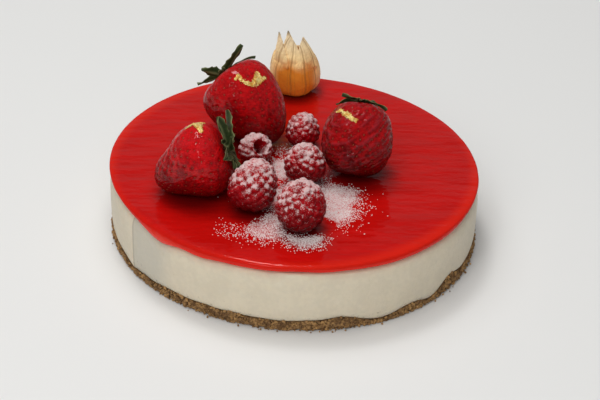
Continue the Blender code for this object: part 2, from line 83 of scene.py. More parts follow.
def count_property(name, description, default):
    return IntProperty(name=name, description=description, default=default)


def colour_property(name, description, *default):
    return FloatVectorProperty(name=name, description=description, default=default, subtype="COLOR")


class CheesecakeSizes(bpy.types.PropertyGroup):
    """The sizes that shape the cake's surface and its dressing."""

    radius: length_property("Cake Radius", "Mean radius of the wall", 90 * MM)
    oval: FloatProperty(
        name="Oval", description="Share by which the outline is longer one way", default=0.028
    )
    crag: length_property("Crag", "Depth of the biscuit's rough edge", 1.5 * MM)
    crumbs: count_property("Crumbs", "Crumbs on the biscuit's edge", 2900)
    fallen: count_property("Fallen Crumbs", "Crumbs lying at the foot", 24)
    ripple: length_property("Ripple", "Height of the jelly's ripples", 0.8 * MM)
    seeds: count_property("Seeds", "Seeds on each strawberry", 230)
    dimple: length_property("Dimple", "Depth of the pit round a seed", 0.34 * MM)
    wrinkle: length_property("Wrinkle", "Height of a strawberry's wrinkles", 0.4 * MM)
    drupelet_voxel: length_property("Drupelet Voxel", "Mesh size of the raspberries", 0.34 * MM)
    sugar_grains: count_property("Sugar Grains", "Grains of sugar on the jelly", 8500)
    dusting_grains: count_property("Dusting Grains", "Grains of sugar on each raspberry", 1500)


class CheesecakeColours(bpy.types.PropertyGroup):
    """The colours of the cake, its fruit and the stage, as linear red, green and blue."""

    crust: colour_property("Crust", "Baked biscuit", 0.095, 0.042, 0.018)
    crumb: colour_property("Crumb", "Golden crumbs", 0.52, 0.30, 0.115)
    cheese: colour_property("Cheese", "Set cheese layer", 0.74, 0.655, 0.50)
    jelly: colour_property("Jelly", "Jelly over the cake", 0.49, 0.004, 0.003)
    jelly_edge: colour_property("Jelly Edge", "Thin jelly at the rim", 0.80, 0.022, 0.006)
    strawberry: colour_property("Strawberry", "Ripe skin", 0.29, 0.001, 0.003)
    # Paler skin for the mottle, also painted on the berries' tops as painted light.
    strawberry_pale_and_lit: colour_property("Strawberry Light", "Paler skin", 0.70, 0.003, 0.006)
    seed: colour_property("Seed", "Strawberry seeds", 0.33, 0.075, 0.022)
    gold: colour_property("Gold", "Gold leaf", 1.0, 0.84, 0.32)
    leaf: colour_property("Leaf", "Strawberry sepals", 0.018, 0.029, 0.008)
    leaf_light: colour_property("Leaf Light", "Sepal ribs and edges", 0.22, 0.23, 0.10)
    raspberry: colour_property("Raspberry", "Drupelets", 0.24, 0.001, 0.004)
    sugar: colour_property("Sugar", "Icing sugar", 0.82, 0.72, 0.70)
    husk: colour_property("Husk", "Papery husk", 0.80, 0.57, 0.27)
    husk_vein: colour_property("Husk Vein", "Veins of the husk", 0.30, 0.14, 0.035)
    gooseberry: colour_property("Gooseberry", "Berry in the husk", 0.95, 0.33, 0.010)
    floor: colour_property("Floor", "Pale floor", 0.80, 0.795, 0.775)


def choose(*objects):
    """Selects only these objects, the first of them active."""
    bpy.ops.object.select_all(action="DESELECT")
    for obj in objects:
        obj.select_set(True)
    bpy.context.view_layer.objects.active = objects[0]
    return objects[0]


def named(name):
    """The active object, under a new name."""
    obj = bpy.context.object
    obj.name = name
    obj.data.name = name
    return obj


def started(add, name, **settings):
    """A new primitive from one of Blender's operators, alone selected, under its name."""
    bpy.ops.object.select_all(action="DESELECT")
    add(**settings)
    return named(name)


def modified(obj, kind, **settings):
    """obj with one more modifier, applied."""
    choose(obj)
    modifier = obj.modifiers.new(kind.title(), kind)
    for key, value in settings.items():
        setattr(modifier, key, value)
    bpy.ops.object.modifier_apply(modifier=modifier.name)
    return obj


def rounded(obj, levels):
    return modified(obj, "SUBSURF", levels=levels, render_levels=levels)


def roughened(obj, size, strength, group="", middle=0.5):
    """obj pushed in and out along its normals by a cloudy noise."""
    texture = bpy.data.textures.new("roughness", "CLOUDS")
    texture.noise_scale = size
    texture.noise_depth = 2
    modified(
        obj,
        "DISPLACE",
        texture=texture,
        strength=strength,
        mid_level=middle,
        vertex_group=group,
        texture_coords="LOCAL",
    )
    bpy.data.textures.remove(texture)
    return obj


def copied(node, name):
    """A merged copy of a solid, to be worked on."""
    choose(frame["nodes"][node])
    bpy.ops.object.duplicate()
    obj = named(name)
    del obj["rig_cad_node"]
    bpy.ops.object.mode_set(mode="EDIT")
    bpy.ops.mesh.select_all(action="SELECT")
    bpy.ops.mesh.remove_doubles(threshold=0.00001)
    bpy.ops.mesh.tris_convert_to_quads()
    bpy.ops.object.mode_set(mode="OBJECT")
    obj.data.materials.clear()
    return obj


def pick_faces(obj, test):
    """Leaves obj in edit mode with only the faces that pass the test selected."""
    choose(obj)
    bpy.ops.object.mode_set(mode="EDIT")
    bpy.ops.mesh.select_mode(type="FACE")
    bpy.ops.mesh.select_all(action="DESELECT")
    bpy.ops.object.mode_set(mode="OBJECT")
    for face in obj.data.polygons:
        face.select = test(face.center, face.normal)
    bpy.ops.object.mode_set(mode="EDIT")


def smooth(obj):
    choose(obj)
    bpy.ops.object.shade_smooth()
    return obj


def points_of(obj):
    found = np.empty(len(obj.data.vertices) * 3)
    obj.data.vertices.foreach_get("co", found)
    return found.reshape(-1, 3)


def move_points(obj, points):
    obj.data.vertices.foreach_set("co", np.asarray(points, float).ravel())
    obj.data.update()


def above_floor(obj):
    """obj with no point under the floor."""
    points = points_of(obj)
    points[:, 2] = np.maximum(points[:, 2], 0)
    move_points(obj, points)
    return obj


def dressed(obj, material, slot, *nodes):
    """The finished piece: its material, its body and the solids it stands for. The slot is not used."""
    obj.data.materials.clear()
    obj.data.materials.append(material)
    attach(obj, "root")
    if nodes:
        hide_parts(*nodes)
    return obj


def built(name, points, faces, shades=None):
    """A new object from points and faces, with each point's shade as an attribute."""
    mesh = bpy.data.meshes.new(name)
    mesh.from_pydata(points, [], faces)
    if shades is not None:
        mesh.attributes.new("shade", "FLOAT", "POINT").data.foreach_set("value", shades)
    obj = bpy.data.objects.new(name, mesh)
    bpy.context.scene.collection.objects.link(obj)
    return obj


def sheets(name, points, rows, columns, shades=None):
    """Sheets in one mesh, each a grid of rows by columns of faces, from all their points."""
    row = columns + 1
    faces = [
        (a, a + 1, a + row + 1, a + row)
        for start in range(0, len(points), row * (rows + 1))
        for first in range(start, start + rows * row, row)
        for a in range(first, first + columns)
    ]
    return built(name, points, faces, shades)


def taken(obj):
    """The points and faces of an object, which then goes."""
    shape = (points_of(obj), np.array([face.vertices[:] for face in obj.data.polygons]))
    bpy.data.objects.remove(obj)
    return shape


def lump_shapes(count, rough, seed, fine=False):
    """Small rough lumps about 1 across, as (points, triangles). Fine ones have eight faces."""
    mesh = bpy.ops.mesh
    shapes = []
    for i in range(count):
        if fine:
            lump = started(
                mesh.primitive_cone_add, "lump", vertices=4, radius1=0.5, depth=0.8, end_fill_type="TRIFAN"
            )
        else:
            lump = started(mesh.primitive_ico_sphere_add, "lump", subdivisions=1, radius=0.5)
        bpy.ops.object.mode_set(mode="EDIT")
        mesh.select_all(action="SELECT")
        bpy.ops.transform.vertex_random(offset=rough, seed=seed + i)
        bpy.ops.object.mode_set(mode="OBJECT")
        shapes.append(taken(lump))
    return shapes


def scattered(name, shapes, places, shades):
    """One mesh with a copy of a shape at each place, and its shade as an attribute."""
    points, faces, values = [], [], []
    start = 0
    for i, (place, tone) in enumerate(zip(places, shades)):
        own, corners = shapes[i % len(shapes)]
        matrix = np.array(place)
        points.append(own @ matrix[:3, :3].T + matrix[:3, 3])
        faces.append(corners + start)
        values.append(np.full(len(own), tone))
        start += len(own)
    points, faces = np.concatenate(points).tolist(), np.concatenate(faces).tolist()
    return built(name, points, faces, np.concatenate(values))


def placed(spot, size, normal=None, rng=None, flat=1.0):
    """The matrix of a small piece of a size at a spot, turned at random, or flat on a normal."""
    spin = Matrix.Rotation(rng.uniform(0, math.tau), 4, "Z")
    if normal is None:
        turn = Matrix.Rotation(rng.uniform(0, math.pi), 4, "X") @ spin
    else:
        turn = Vector(normal).to_track_quat("Z", "Y").to_matrix().to_4x4() @ spin
    scale = Matrix.Diagonal((size, size * rng.uniform(0.7, 1.0), size * flat, 1))
    return Matrix.Translation(spot) @ turn @ scale


def wall_radius(heading, sizes):
    """The wall's radius at a heading, for numbers and for arrays."""
    return sizes.radius * (1 + sizes.oval * np.cos(2 * (heading + math.pi / 4)))


def edge_heights(node, pick, sizes):
    """A function that gives a layer's highest or lowest point on the wall at a heading."""
    points = np.array([v.co for v in frame["nodes"][node].data.vertices])
    outer = points[np.hypot(points[:, 0], points[:, 1]) > 0.95 * sizes.radius]
    around = np.round(np.arctan2(outer[:, 1], outer[:, 0]) / math.tau * 80) % 80
    headings = np.unique(around)
    heights = [pick(outer[around == heading, 2]) for heading in headings]
    return lambda heading: np.interp(heading, headings / 80 * math.tau, heights, period=math.tau)


def shade(colour):
    return (*colour[:3], 1)


def feed(tree, socket, value):
    """Gives an input its value, or the socket that feeds it."""
    if isinstance(value, bpy.types.NodeSocket):
        tree.links.new(value, socket)
    elif socket.type == "RGBA":
        socket.default_value = shade(value)
    else:
        socket.default_value = value


def add_node(tree, kind, inputs=None, **settings):
    """A new shader node. An input is a value or the socket that feeds it."""
    made = tree.nodes.new(kind)
    for key, value in settings.items():
        setattr(made, key, value)
    for key, value in (inputs or {}).items():
        feed(tree, made.inputs[key], value)
    return made


def texture_noise(tree, vector, scale, detail=3.0, roughness=0.55):
    inputs = {"Vector": vector, "Scale": scale, "Detail": detail, "Roughness": roughness}
    return add_node(tree, "ShaderNodeTexNoise", inputs).outputs["Fac"]


def math_node(tree, operation, *values):
    return add_node(tree, "ShaderNodeMath", dict(enumerate(values)), operation=operation).outputs[0]


def times(tree, first, second):
    return math_node(tree, "MULTIPLY", first, second)


def times_plus(tree, first, second, more):
    return math_node(tree, "MULTIPLY_ADD", first, second, more)


def ramp(tree, value, low, high, start=0.0, end=1.0):
    """A smooth step of a value from start to end between low and high."""
    inputs = {"Value": value, "From Min": low, "From Max": high, "To Min": start, "To Max": end}
    made = add_node(tree, "ShaderNodeMapRange", inputs, interpolation_type="SMOOTHSTEP")
    return made.outputs["Result"]


def mixed(tree, factor, first, second):
    """A colour between two, by a factor."""
    made = add_node(tree, "ShaderNodeMix", data_type="RGBA")
    for index, value in ((0, factor), (6, first), (7, second)):
        feed(tree, made.inputs[index], value)
    return made.outputs[2]


def object_vector(tree, scale=(1, 1, 1), turn=(0, 0, 0), centre=(0, 0, 0)):
    """Object coordinates about a centre, turned and scaled."""
    place = add_node(tree, "ShaderNodeTexCoord").outputs["Object"]
    shifted = add_node(tree, "ShaderNodeMapping", {"Vector": place, "Location": [-c for c in centre]})
    inputs = {"Vector": shifted.outputs[0], "Scale": scale, "Rotation": turn}
    return add_node(tree, "ShaderNodeMapping", inputs).outputs[0]


def parts_of(tree, vector):
    """The X, Y and Z of a vector."""
    return add_node(tree, "ShaderNodeSeparateXYZ", {"Vector": vector}).outputs


def stored(tree, name):
    """A value that the mesh holds at each point."""
    return add_node(tree, "ShaderNodeAttribute", attribute_name=name).outputs["Fac"]


def effect(name, inputs, output):
    """A new shader node group, from the kinds of socket by label: the group, its inputs and
    the socket that takes its one output."""
    group = bpy.data.node_groups.new(name, "ShaderNodeTree")
    for label, kind in inputs.items():
        group.interface.new_socket(label, in_out="INPUT", socket_type="NodeSocket" + kind)
    for label, kind in output.items():
        group.interface.new_socket(label, in_out="OUTPUT", socket_type="NodeSocket" + kind)
    entry = group.nodes.new("NodeGroupInput")
    leave = group.nodes.new("NodeGroupOutput")
    return group, entry.outputs, leave.inputs[0]


def mottle_effect():
    """Two colours in soft patches with finer specks."""
    group, given, out = effect(
        "Mottle",
        {"Vector": "Vector", "First": "Color", "Second": "Color", "Scale": "Float"},
        {"Colour": "Color"},
    )
    broad = texture_noise(group, given["Vector"], given["Scale"])
    fine = texture_noise(group, given["Vector"], times(group, given["Scale"], 5.0))
    both = times_plus(group, fine, 0.45, times(group, broad, 0.55))
    group.links.new(mixed(group, ramp(group, both, 0.36, 0.62), given["First"], given["Second"]), out)
    return group


def sugar_effect():
    """Where fine sugar lies: on what looks up, broken up by a noise."""
    group, given, out = effect(
        "Sugar Dusting", {"Vector": "Vector", "Amount": "Float", "Scale": "Float"}, {"Mask": "Float"}
    )
    upward = parts_of(group, add_node(group, "ShaderNodeNewGeometry").outputs["Normal"])["Z"]
    speck = texture_noise(group, given["Vector"], given["Scale"], 4.0, 0.7)
    lying = ramp(group, upward, -0.35, 1.0)
    broken = times_plus(group, speck, 3.0, -1.98)
    mask = times_plus(group, lying, given["Amount"], broken)
    group.links.new(ramp(group, mask, -0.1, 0.6), out)
    return group


def spot_effect():
    """A round place: 1 within its inner radius, 0 past its outer one."""
    group, given, out = effect(
        "Round Spot",
        {"Vector": "Vector", "Middle": "Vector", "Inner": "Float", "Outer": "Float"},
        {"Mask": "Float"},
    )
    ends = {0: given["Vector"], 1: given["Middle"]}
    away = add_node(group, "ShaderNodeVectorMath", ends, operation="DISTANCE").outputs["Value"]
    group.links.new(ramp(group, away, given["Inner"], given["Outer"], 1.0, 0.0), out)
    return group


def grain_effect():
    """The height of a fine uneven grain."""
    group, given, out = effect(
        "Fine Grain", {"Vector": "Vector", "Scale": "Float"}, {"Height": "Float"}
    )
    broad = texture_noise(group, given["Vector"], given["Scale"], 2.0)
    fine = texture_noise(group, given["Vector"], times(group, given["Scale"], 4.0), 3.0)
    group.links.new(times_plus(group, fine, 0.35, broad), out)
    return group


EFFECTS = {
    "Mottle": mottle_effect,
    "Sugar Dusting": sugar_effect,
    "Round Spot": spot_effect,
    "Fine Grain": grain_effect,
}


def placed_effect(tree, name, **inputs):
    """The named effect's output, with its group built once."""
    group = bpy.data.node_groups.get(name) or EFFECTS[name]()
    return add_node(tree, "ShaderNodeGroup", inputs, node_tree=group).outputs[0]


def mottled(tree, vector, first, second, scale):
    """Two colours in soft patches."""
    return placed_effect(tree, "Mottle", Vector=vector, First=first, Second=second, Scale=scale)


def spotted(tree, vector, middle, inner, outer):
    """A mask of a round place."""
    return placed_effect(tree, "Round Spot", Vector=vector, Middle=middle, Inner=inner, Outer=outer)


def mottled_colour(first, second, scale):
    """A colour for finish_of: two colours in soft patches."""
    return lambda tree: mottled(tree, object_vector(tree), first, second, scale)


def grain_height(scale, stretch=(1, 1, 1), turn=(0, 0, 0)):
    """A relief for finish_of: a fine grain, which may be stretched."""
    return lambda tree: placed_effect(
        tree, "Fine Grain", Vector=object_vector(tree, stretch, turn), Scale=scale
    )


def scaled(colour, factor):
    return [min(1, c * factor) for c in colour]


def finish_of(name, colour=None, height=None, distance=0.0, sockets=None, **plain):
    """A new material: a colour, a relief height and its distance, and the shader's own values."""
    material = bpy.data.materials.new(name)
    material.use_nodes = True
    tree = material.node_tree
    shader = tree.nodes["Principled BSDF"]
    for key, value in plain.items():
        shader.inputs[key.replace("_", " ").title().replace("Ior", "IOR")].default_value = value
    made = sockets(tree) if sockets else {}
    if height:
        made["Height"] = height(tree)
    if colour:
        made["Base Color"] = colour(tree)
    relief = made.pop("Height", None)
    if relief is not None:
        bump = add_node(tree, "ShaderNodeBump", {"Height": relief, "Strength": 1.0, "Distance": distance})
        made["Normal"] = bump.outputs[0]
    for key, value in made.items():
        tree.links.new(value, shader.inputs[key])
    return material


def crust_finish(colours):
    def colour(tree):
        vector = object_vector(tree)
        base = mottled(tree, vector, colours.crust, colours.crumb, 900.0)
        toasted = mixed(tree, stored(tree, "shade"), base, colours.crumb)
        dark = ramp(tree, texture_noise(tree, vector, 260.0), 0.42, 0.60)
        return mixed(tree, times(tree, dark, 0.6), toasted, colours.crust)

    return finish_of("toasted_biscuit", colour, grain_height(1400.0), 0.4 * MM, roughness=0.85)


class CHEESECAKE_OT_crust(bpy.types.Operator):
    """The biscuit base: a cragged wall, crumbs stuck to it and crumbs at its foot"""

    bl_idname = "cheesecake.crust"
    bl_label = "Biscuit Base"

    COARSE = 2.6 * MM
    FINE = 0.9 * MM
    LARGEST_CRUMB = 2.0 * MM
    # How far crumbs climb over the biscuit's edge, and how deep they sit in its wall, from
    # least to most in millimetres
    CLIMB = 0.7 * MM
    SUNK = (0.4, 1.0)
    # Most of the fallen crumbs lie towards this heading, within this spread, in degrees
    FALLEN_HEADING = 292
    FALLEN_SPREAD = 42

    def execute(self, context):
        sizes = context.scene.cheesecake_sizes
        wall = copied("crust_base", "crust")
        pick_faces(wall, lambda centre, normal: abs(normal.z) < 0.9)
        bpy.ops.mesh.subdivide(number_cuts=7)
        bpy.ops.object.vertex_group_add()
        bpy.ops.object.vertex_group_assign()
        bpy.ops.object.mode_set(mode="OBJECT")
        group = wall.vertex_groups[0].name
        roughened(wall, self.COARSE, sizes.crag, group, middle=0.62)
        roughened(wall, self.FINE, 0.5 * sizes.crag, group)
        wall.vertex_groups.clear()
        crumbs = scattered("crust_crumbs", lump_shapes(5, 0.16, 3), *self.crumb_places(sizes))
        material = crust_finish(context.scene.cheesecake_colours)
        dressed(above_floor(wall), material, "biscuit", "crust_base")
        dressed(above_floor(crumbs), material, "biscuit")
        return {"FINISHED"}

    def crumb_places(self, sizes):
        """The crumbs' matrices, and how golden each one is."""

        def spot(heading, outward, height):
            radius = float(wall_radius(heading, sizes)) + outward * MM
            return (radius * math.cos(heading), radius * math.sin(heading), height)

        rng = random.Random(31)
        top = edge_heights("crust_base", max, sizes)
        places, shades = [], []
        for _ in range(sizes.crumbs):
            heading = rng.uniform(0, math.tau)
            size = rng.uniform(0.5, 1.0) ** 2 * self.LARGEST_CRUMB
            height = max(0.45 * size, rng.random() * (float(top(heading)) + self.CLIMB))
            places.append(placed(spot(heading, -rng.uniform(*self.SUNK), height), size, rng=rng))
            shades.append(min(1, max(0, rng.gauss(0.30, 0.38))))
        for _ in range(sizes.fallen):
            heading = math.radians(rng.gauss(self.FALLEN_HEADING, self.FALLEN_SPREAD))
            size = rng.uniform(0.5, 1.3) * MM
            places.append(placed(spot(heading, rng.uniform(0.0, 1.2), 0.42 * size), size, rng=rng))
            shades.append(rng.uniform(0.3, 1))
        return places, shades


# The flat place in the cheese's wall: it starts at a slit and fades out, as headings in degrees
FACET_START = 210.5
FACET_SPAN = 22
FACET_DEPTH = 1.3 * MM
FACET_SHADE = (0.50, 0.485, 0.42)
SLIT_PAINTED_SHADE = (0.34, 0.29, 0.22)
PIT_PAINTED_SHADE = (0.34, 0.28, 0.20)
BISCUIT_STAIN = (0.20, 0.11, 0.055)


def cheese_finish(colours):
    def colour(tree):
        vector = object_vector(tree)
        base = mottled(tree, vector, colours.cheese, scaled(colours.cheese, 0.93), 90.0)
        parts = parts_of(tree, vector)
        height = parts["Z"]
        # The heading seen from the cake's middle, as an angle past the slit.
        angle = math_node(tree, "ARCTAN2", parts["Y"], parts["X"])
        past = math_node(tree, "SUBTRACT", angle, math.radians(FACET_START - 360))
        begun = ramp(tree, past, -0.003, 0.003)
        fading = ramp(tree, past, 0.2, math.radians(FACET_SPAN), 0.55, 0.0)
        cool = mixed(tree, times(tree, begun, fading), base, FACET_SHADE)
        # Painted shade: a thin dark line down the slit.
        slit = ramp(tree, math_node(tree, "ABSOLUTE", past), 0.0, 0.007, 0.6, 0.0)
        slitted = mixed(tree, slit, cool, SLIT_PAINTED_SHADE)
        # Painted shade: sparse darker specks for pits, strongest low on the wall.
        pits = add_node(tree, "ShaderNodeTexVoronoi", {"Vector": vector, "Scale": 420.0})
        deep = ramp(tree, pits.outputs["Distance"], 0.10, 0.22, 1.0, 0.0)
        sparse = ramp(tree, texture_noise(tree, vector, 160.0), 0.56, 0.66)
        low = ramp(tree, height, 6 * MM, 20 * MM, 1.0, 0.15)
        pit = times(tree, times(tree, deep, sparse), low)
        pitted = mixed(tree, times(tree, pit, 0.65), slitted, PIT_PAINTED_SHADE)
        stain = ramp(tree, texture_noise(tree, vector, 700.0, 4.0), 0.58, 0.72)
        foot = ramp(tree, height, 4 * MM, 10 * MM, 0.75, 0.0)
        return mixed(tree, times(tree, stain, foot), pitted, BISCUIT_STAIN)

    return finish_of(
        "set_cheese", colour, grain_height(180.0), 0.25 * MM, roughness=0.5, subsurface_weight=0.25,
        subsurface_radius=(4 * MM, 3 * MM, 2 * MM), subsurface_scale=1.0,
    )


class CHEESECAKE_OT_cheese(bpy.types.Operator):
    """The white cheese layer, with a softened edge and a flat place in its wall"""

    bl_idname = "cheesecake.cheese"
    bl_label = "Cheese Layer"

    def execute(self, context):
        sizes = context.scene.cheesecake_sizes
        layer = copied("cream_filling", "cheese_layer")
        rounded(layer, 2)
        points = points_of(layer)
        heading = np.degrees(np.arctan2(points[:, 1], points[:, 0])) % 360
        radius = np.hypot(points[:, 0], points[:, 1])
        share = np.clip((heading - FACET_START) / FACET_SPAN, 0, 1)
        depth = np.where(heading > FACET_START, FACET_DEPTH * (1 - share) ** 1.3, 0)
        band = np.clip((radius / sizes.radius - 0.95) / 0.03, 0, 1)
        points[:, :2] *= (1 - depth * band / np.maximum(radius, 1e-6))[:, None]
        move_points(layer, points)
        roughened(layer, 16 * MM, 0.35 * MM)
        smooth(layer)
        dressed(layer, cheese_finish(context.scene.cheesecake_colours), "cheese", "cream_filling")
        return {"FINISHED"}


# Icing sugar on the jelly, in millimetres: soft heaps as (x, y, radius, amount), and bare
# places below the berries as (x, y, radius), where nothing fell
SUGAR_HEAPS = (
    (6, -36, 27, 0.7),
    (20, -30, 14, 1.0),
    (18, -43, 14, 1.0),
    (6, -65, 11.5, 1.0),
    (-10, -57, 15, 0.85),
    (-25, -60, 11, 0.28),
    (-7, -6, 12, 1.0),
    (-3, 10, 8, 0.5),
    (-4, -30, 10, 1.0),
)
SUGAR_BARE = ((-23, -45, 11), (5, -56, 10), (13, -56, 8), (30, -10, 12), (-18, 0, 8))

# What stands on the jelly, which gets a painted shadow and dark reflection under it and close round it
FRUIT = (
    *("strawberry_" + place for place in ("back", "left", "right")),
    *("raspberry_" + place for place in ("hollow", "back", "middle", "left", "front")),
    "physalis_husk",
)
JELLY_SHADOW = (0.06, 0.001, 0.002)


def sugar_cover(tree, flat):
    """How thickly the sugar lies on the jelly, from its heaps and bare places."""

    def spot(x, y, inner, outer):
        return spotted(tree, flat, (x * MM, y * MM, 0), inner * MM, outer * MM)

    cover = 0.0
    for x, y, radius, most in SUGAR_HEAPS:
        heap = times(tree, spot(x, y, 0.5 * radius, 1.2 * radius), most)
        cover = math_node(tree, "MAXIMUM", heap, cover)
    for x, y, radius in SUGAR_BARE:
        bare = spot(x, y, 0.65 * radius, 1.15 * radius)
        cover = times(tree, cover, math_node(tree, "SUBTRACT", 1.0, bare))
    return cover


def jelly_finish(colours, sizes):
    def sockets(tree):
        vector = object_vector(tree)
        flat = object_vector(tree, (1, 1, 0))
        out = add_node(tree, "ShaderNodeVectorMath", {0: flat}, operation="LENGTH").outputs["Value"]
        brushed = object_vector(tree, (0.3, 1.4, 1))
        base = mottled(tree, brushed, scaled(colours.jelly, 0.92), scaled(colours.jelly, 1.08), 55.0)
        # Painted shadow and dark reflection under and round each fruit.
        for node in FRUIT:
            low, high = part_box(node)
            middle = ((low.x + high.x) / 2, (low.y + high.y) / 2, 0)
            width = high.x - low.x
            under = spotted(tree, flat, middle, 0.2 * width, 0.68 * width)
            base = mixed(tree, times(tree, under, 0.8), base, JELLY_SHADOW)
        thin = ramp(tree, out, 0.93 * sizes.radius, 1.0 * sizes.radius)
        height = parts_of(tree, vector)["Z"]
        side = ramp(tree, height, JELLY_TOP - 4.5 * MM, JELLY_TOP - 0.3 * MM, 1.0, 0.0)
        rim = math_node(tree, "MAXIMUM", times(tree, thin, 0.45), side)
        bare = mixed(tree, rim, base, colours.jelly_edge)
        speck = texture_noise(tree, vector, 1300.0, 3.0, 0.7)
        clump = texture_noise(tree, vector, 330.0, 2.0)
        lying = times_plus(tree, clump, 0.35, times(tree, speck, 0.65))
        mask = ramp(tree, times_plus(tree, sugar_cover(tree, flat), 0.52, lying), 0.76, 1.18)
        long = texture_noise(tree, object_vector(tree, (0.28, 1.0, 1.0)), 130.0, 2.5, 0.5)
        short = texture_noise(tree, object_vector(tree, (0.6, 1.0, 1.0)), 420.0, 2.0, 0.5)
        return {
            "Base Color": mixed(tree, times(tree, mask, 0.8), bare, colours.sugar),
            "Roughness": ramp(tree, mask, 0.0, 0.6, 0.1, 0.9),
            "Height": times_plus(tree, short, 0.18, long),
        }

    return finish_of(
        "red_jelly", sockets=sockets, distance=sizes.ripple, ior=1.36, specular_ior_level=0.38
    )


class CHEESECAKE_OT_jelly(bpy.types.Operator):
    """The glossy jelly, with its rounded rim and the tongues that ran down the wall"""

    bl_idname = "cheesecake.jelly"
    bl_label = "Jelly"

    def execute(self, context):
        layer = copied("strawberry_jelly", "jelly_layer")
        rounded(layer, 2)
        roughened(layer, 12 * MM, 0.25 * MM)
        smooth(layer)
        scene = context.scene
        material = jelly_finish(scene.cheesecake_colours, scene.cheesecake_sizes)
        dressed(layer, material, "jelly", "strawberry_jelly")
        return {"FINISHED"}


class Strawberry:
    """The form of one strawberry along +Z, tip down, and where it lies."""

    WAIST_AT = 0.3
    WAIST_SPREAD = 0.22
    HOLLOW = 1.6 * MM
    SLANT = math.radians(25)

    def __init__(
        self, node, width, length, taper, blunt, waist, direction, seed, dark, ridges, sepals, flake
    ):
        self.node = node
        self.radius = width / 2
        self.length = length
        self.taper = taper
        self.blunt = blunt
        self.waist = waist
        self.turn = Vector(direction).normalized().to_track_quat("Z", "Y").to_matrix()
        self.dark = dark
        self.ridges = ridges
        self.sepals = sepals
        self.flake = flake
        self.shift = Vector()
        rng = random.Random(seed)
        self.lumps = [(k, rng.uniform(0, math.tau), rng.uniform(0.01, 0.03)) for k in (2, 3, 5)]
        self.seed = seed

    def outline(self, polar):
        """(radius, height) at an angle that runs from 0 at the tip to pi at the calyx."""
        t = (1 - math.cos(polar)) / 2
        widest = self.taper / (self.taper + self.blunt)
        peak = widest**self.taper * (1 - widest) ** self.blunt
        radius = self.radius * t**self.taper * (1 - t) ** self.blunt / peak
        radius *= 1 - self.waist * math.exp(-(((t - self.WAIST_AT) / self.WAIST_SPREAD) ** 2))
        hollow = self.HOLLOW * max(0.0, 1 - radius / (0.45 * self.radius)) ** 2
        return radius, self.length * (t - 0.5) - (hollow if t > 0.5 else 0.0)

    def skin_point(self, polar, around):
        radius, height = self.outline(polar)
        radius *= 1 + sum(s * math.sin(k * around + p) for k, p, s in self.lumps)
        return Vector((radius * math.cos(around), radius * math.sin(around), height))

    def wrinkle(self, spot):
        """The height of the skin's wrinkles, and how far a spot is up one of its long ridges,
        which rise to the right across the front."""
        x, y, z = self.turn @ spot / MM
        along = x * math.cos(self.SLANT) + z * math.sin(self.SLANT)
        across = z * math.cos(self.SLANT) - x * math.sin(self.SLANT)
        ripple = noise.noise(Vector((0.11 * along, 0.2 * y + self.seed, 0.78 * across)))
        soft = noise.noise(Vector((0.3 * x, 0.3 * y, 0.3 * z + self.seed)))
        fine = noise.noise(Vector((0.9 * x, 0.9 * y, 0.9 * z + self.seed)))
        height = 1.4 * self.ridges * ripple + 0.5 * soft + 0.3 * fine
        return height, self.ridges * min(1, max(0, 4 * ripple - 0.5))

    def seed_spots(self, count):
        """The seeds' places and outward directions, in a spiral from the tip."""
        spots = []
        rng = random.Random(self.seed)
        for i in range(count):
            t = 0.02 + 0.93 * (i + 0.5) / count
            polar = math.acos(1 - 2 * t) + rng.uniform(-0.03, 0.03)
            around = i * GOLDEN_ANGLE + rng.uniform(-0.06, 0.06)
            here = self.skin_point(polar, around)
            along = (self.skin_point(polar + 0.04, around) - here).normalized()
            across = self.skin_point(polar, around + 0.04) - here
            spots.append((here, along, across.cross(along).normalized()))
        return spots

    def meridian(self):
        """The shoulder from the calyx down, as rows of distances, radii, heights and the
        normal's two parts."""
        steps = 60
        line = [Vector(self.outline(math.pi * (1 - 0.75 * i / steps))) for i in range(steps + 1)]
        found = []
        gone = 0.0
        for here, after in zip(line, line[1:]):
            along = after - here
            found.append((gone, here.x, here.y, *Vector((-along.y, along.x)).normalized()))
            gone += along.length
        return list(zip(*found))

    def heading(self, towards):
        seen = self.turn.inverted() @ Vector(towards)
        return math.atan2(seen.y, seen.x)


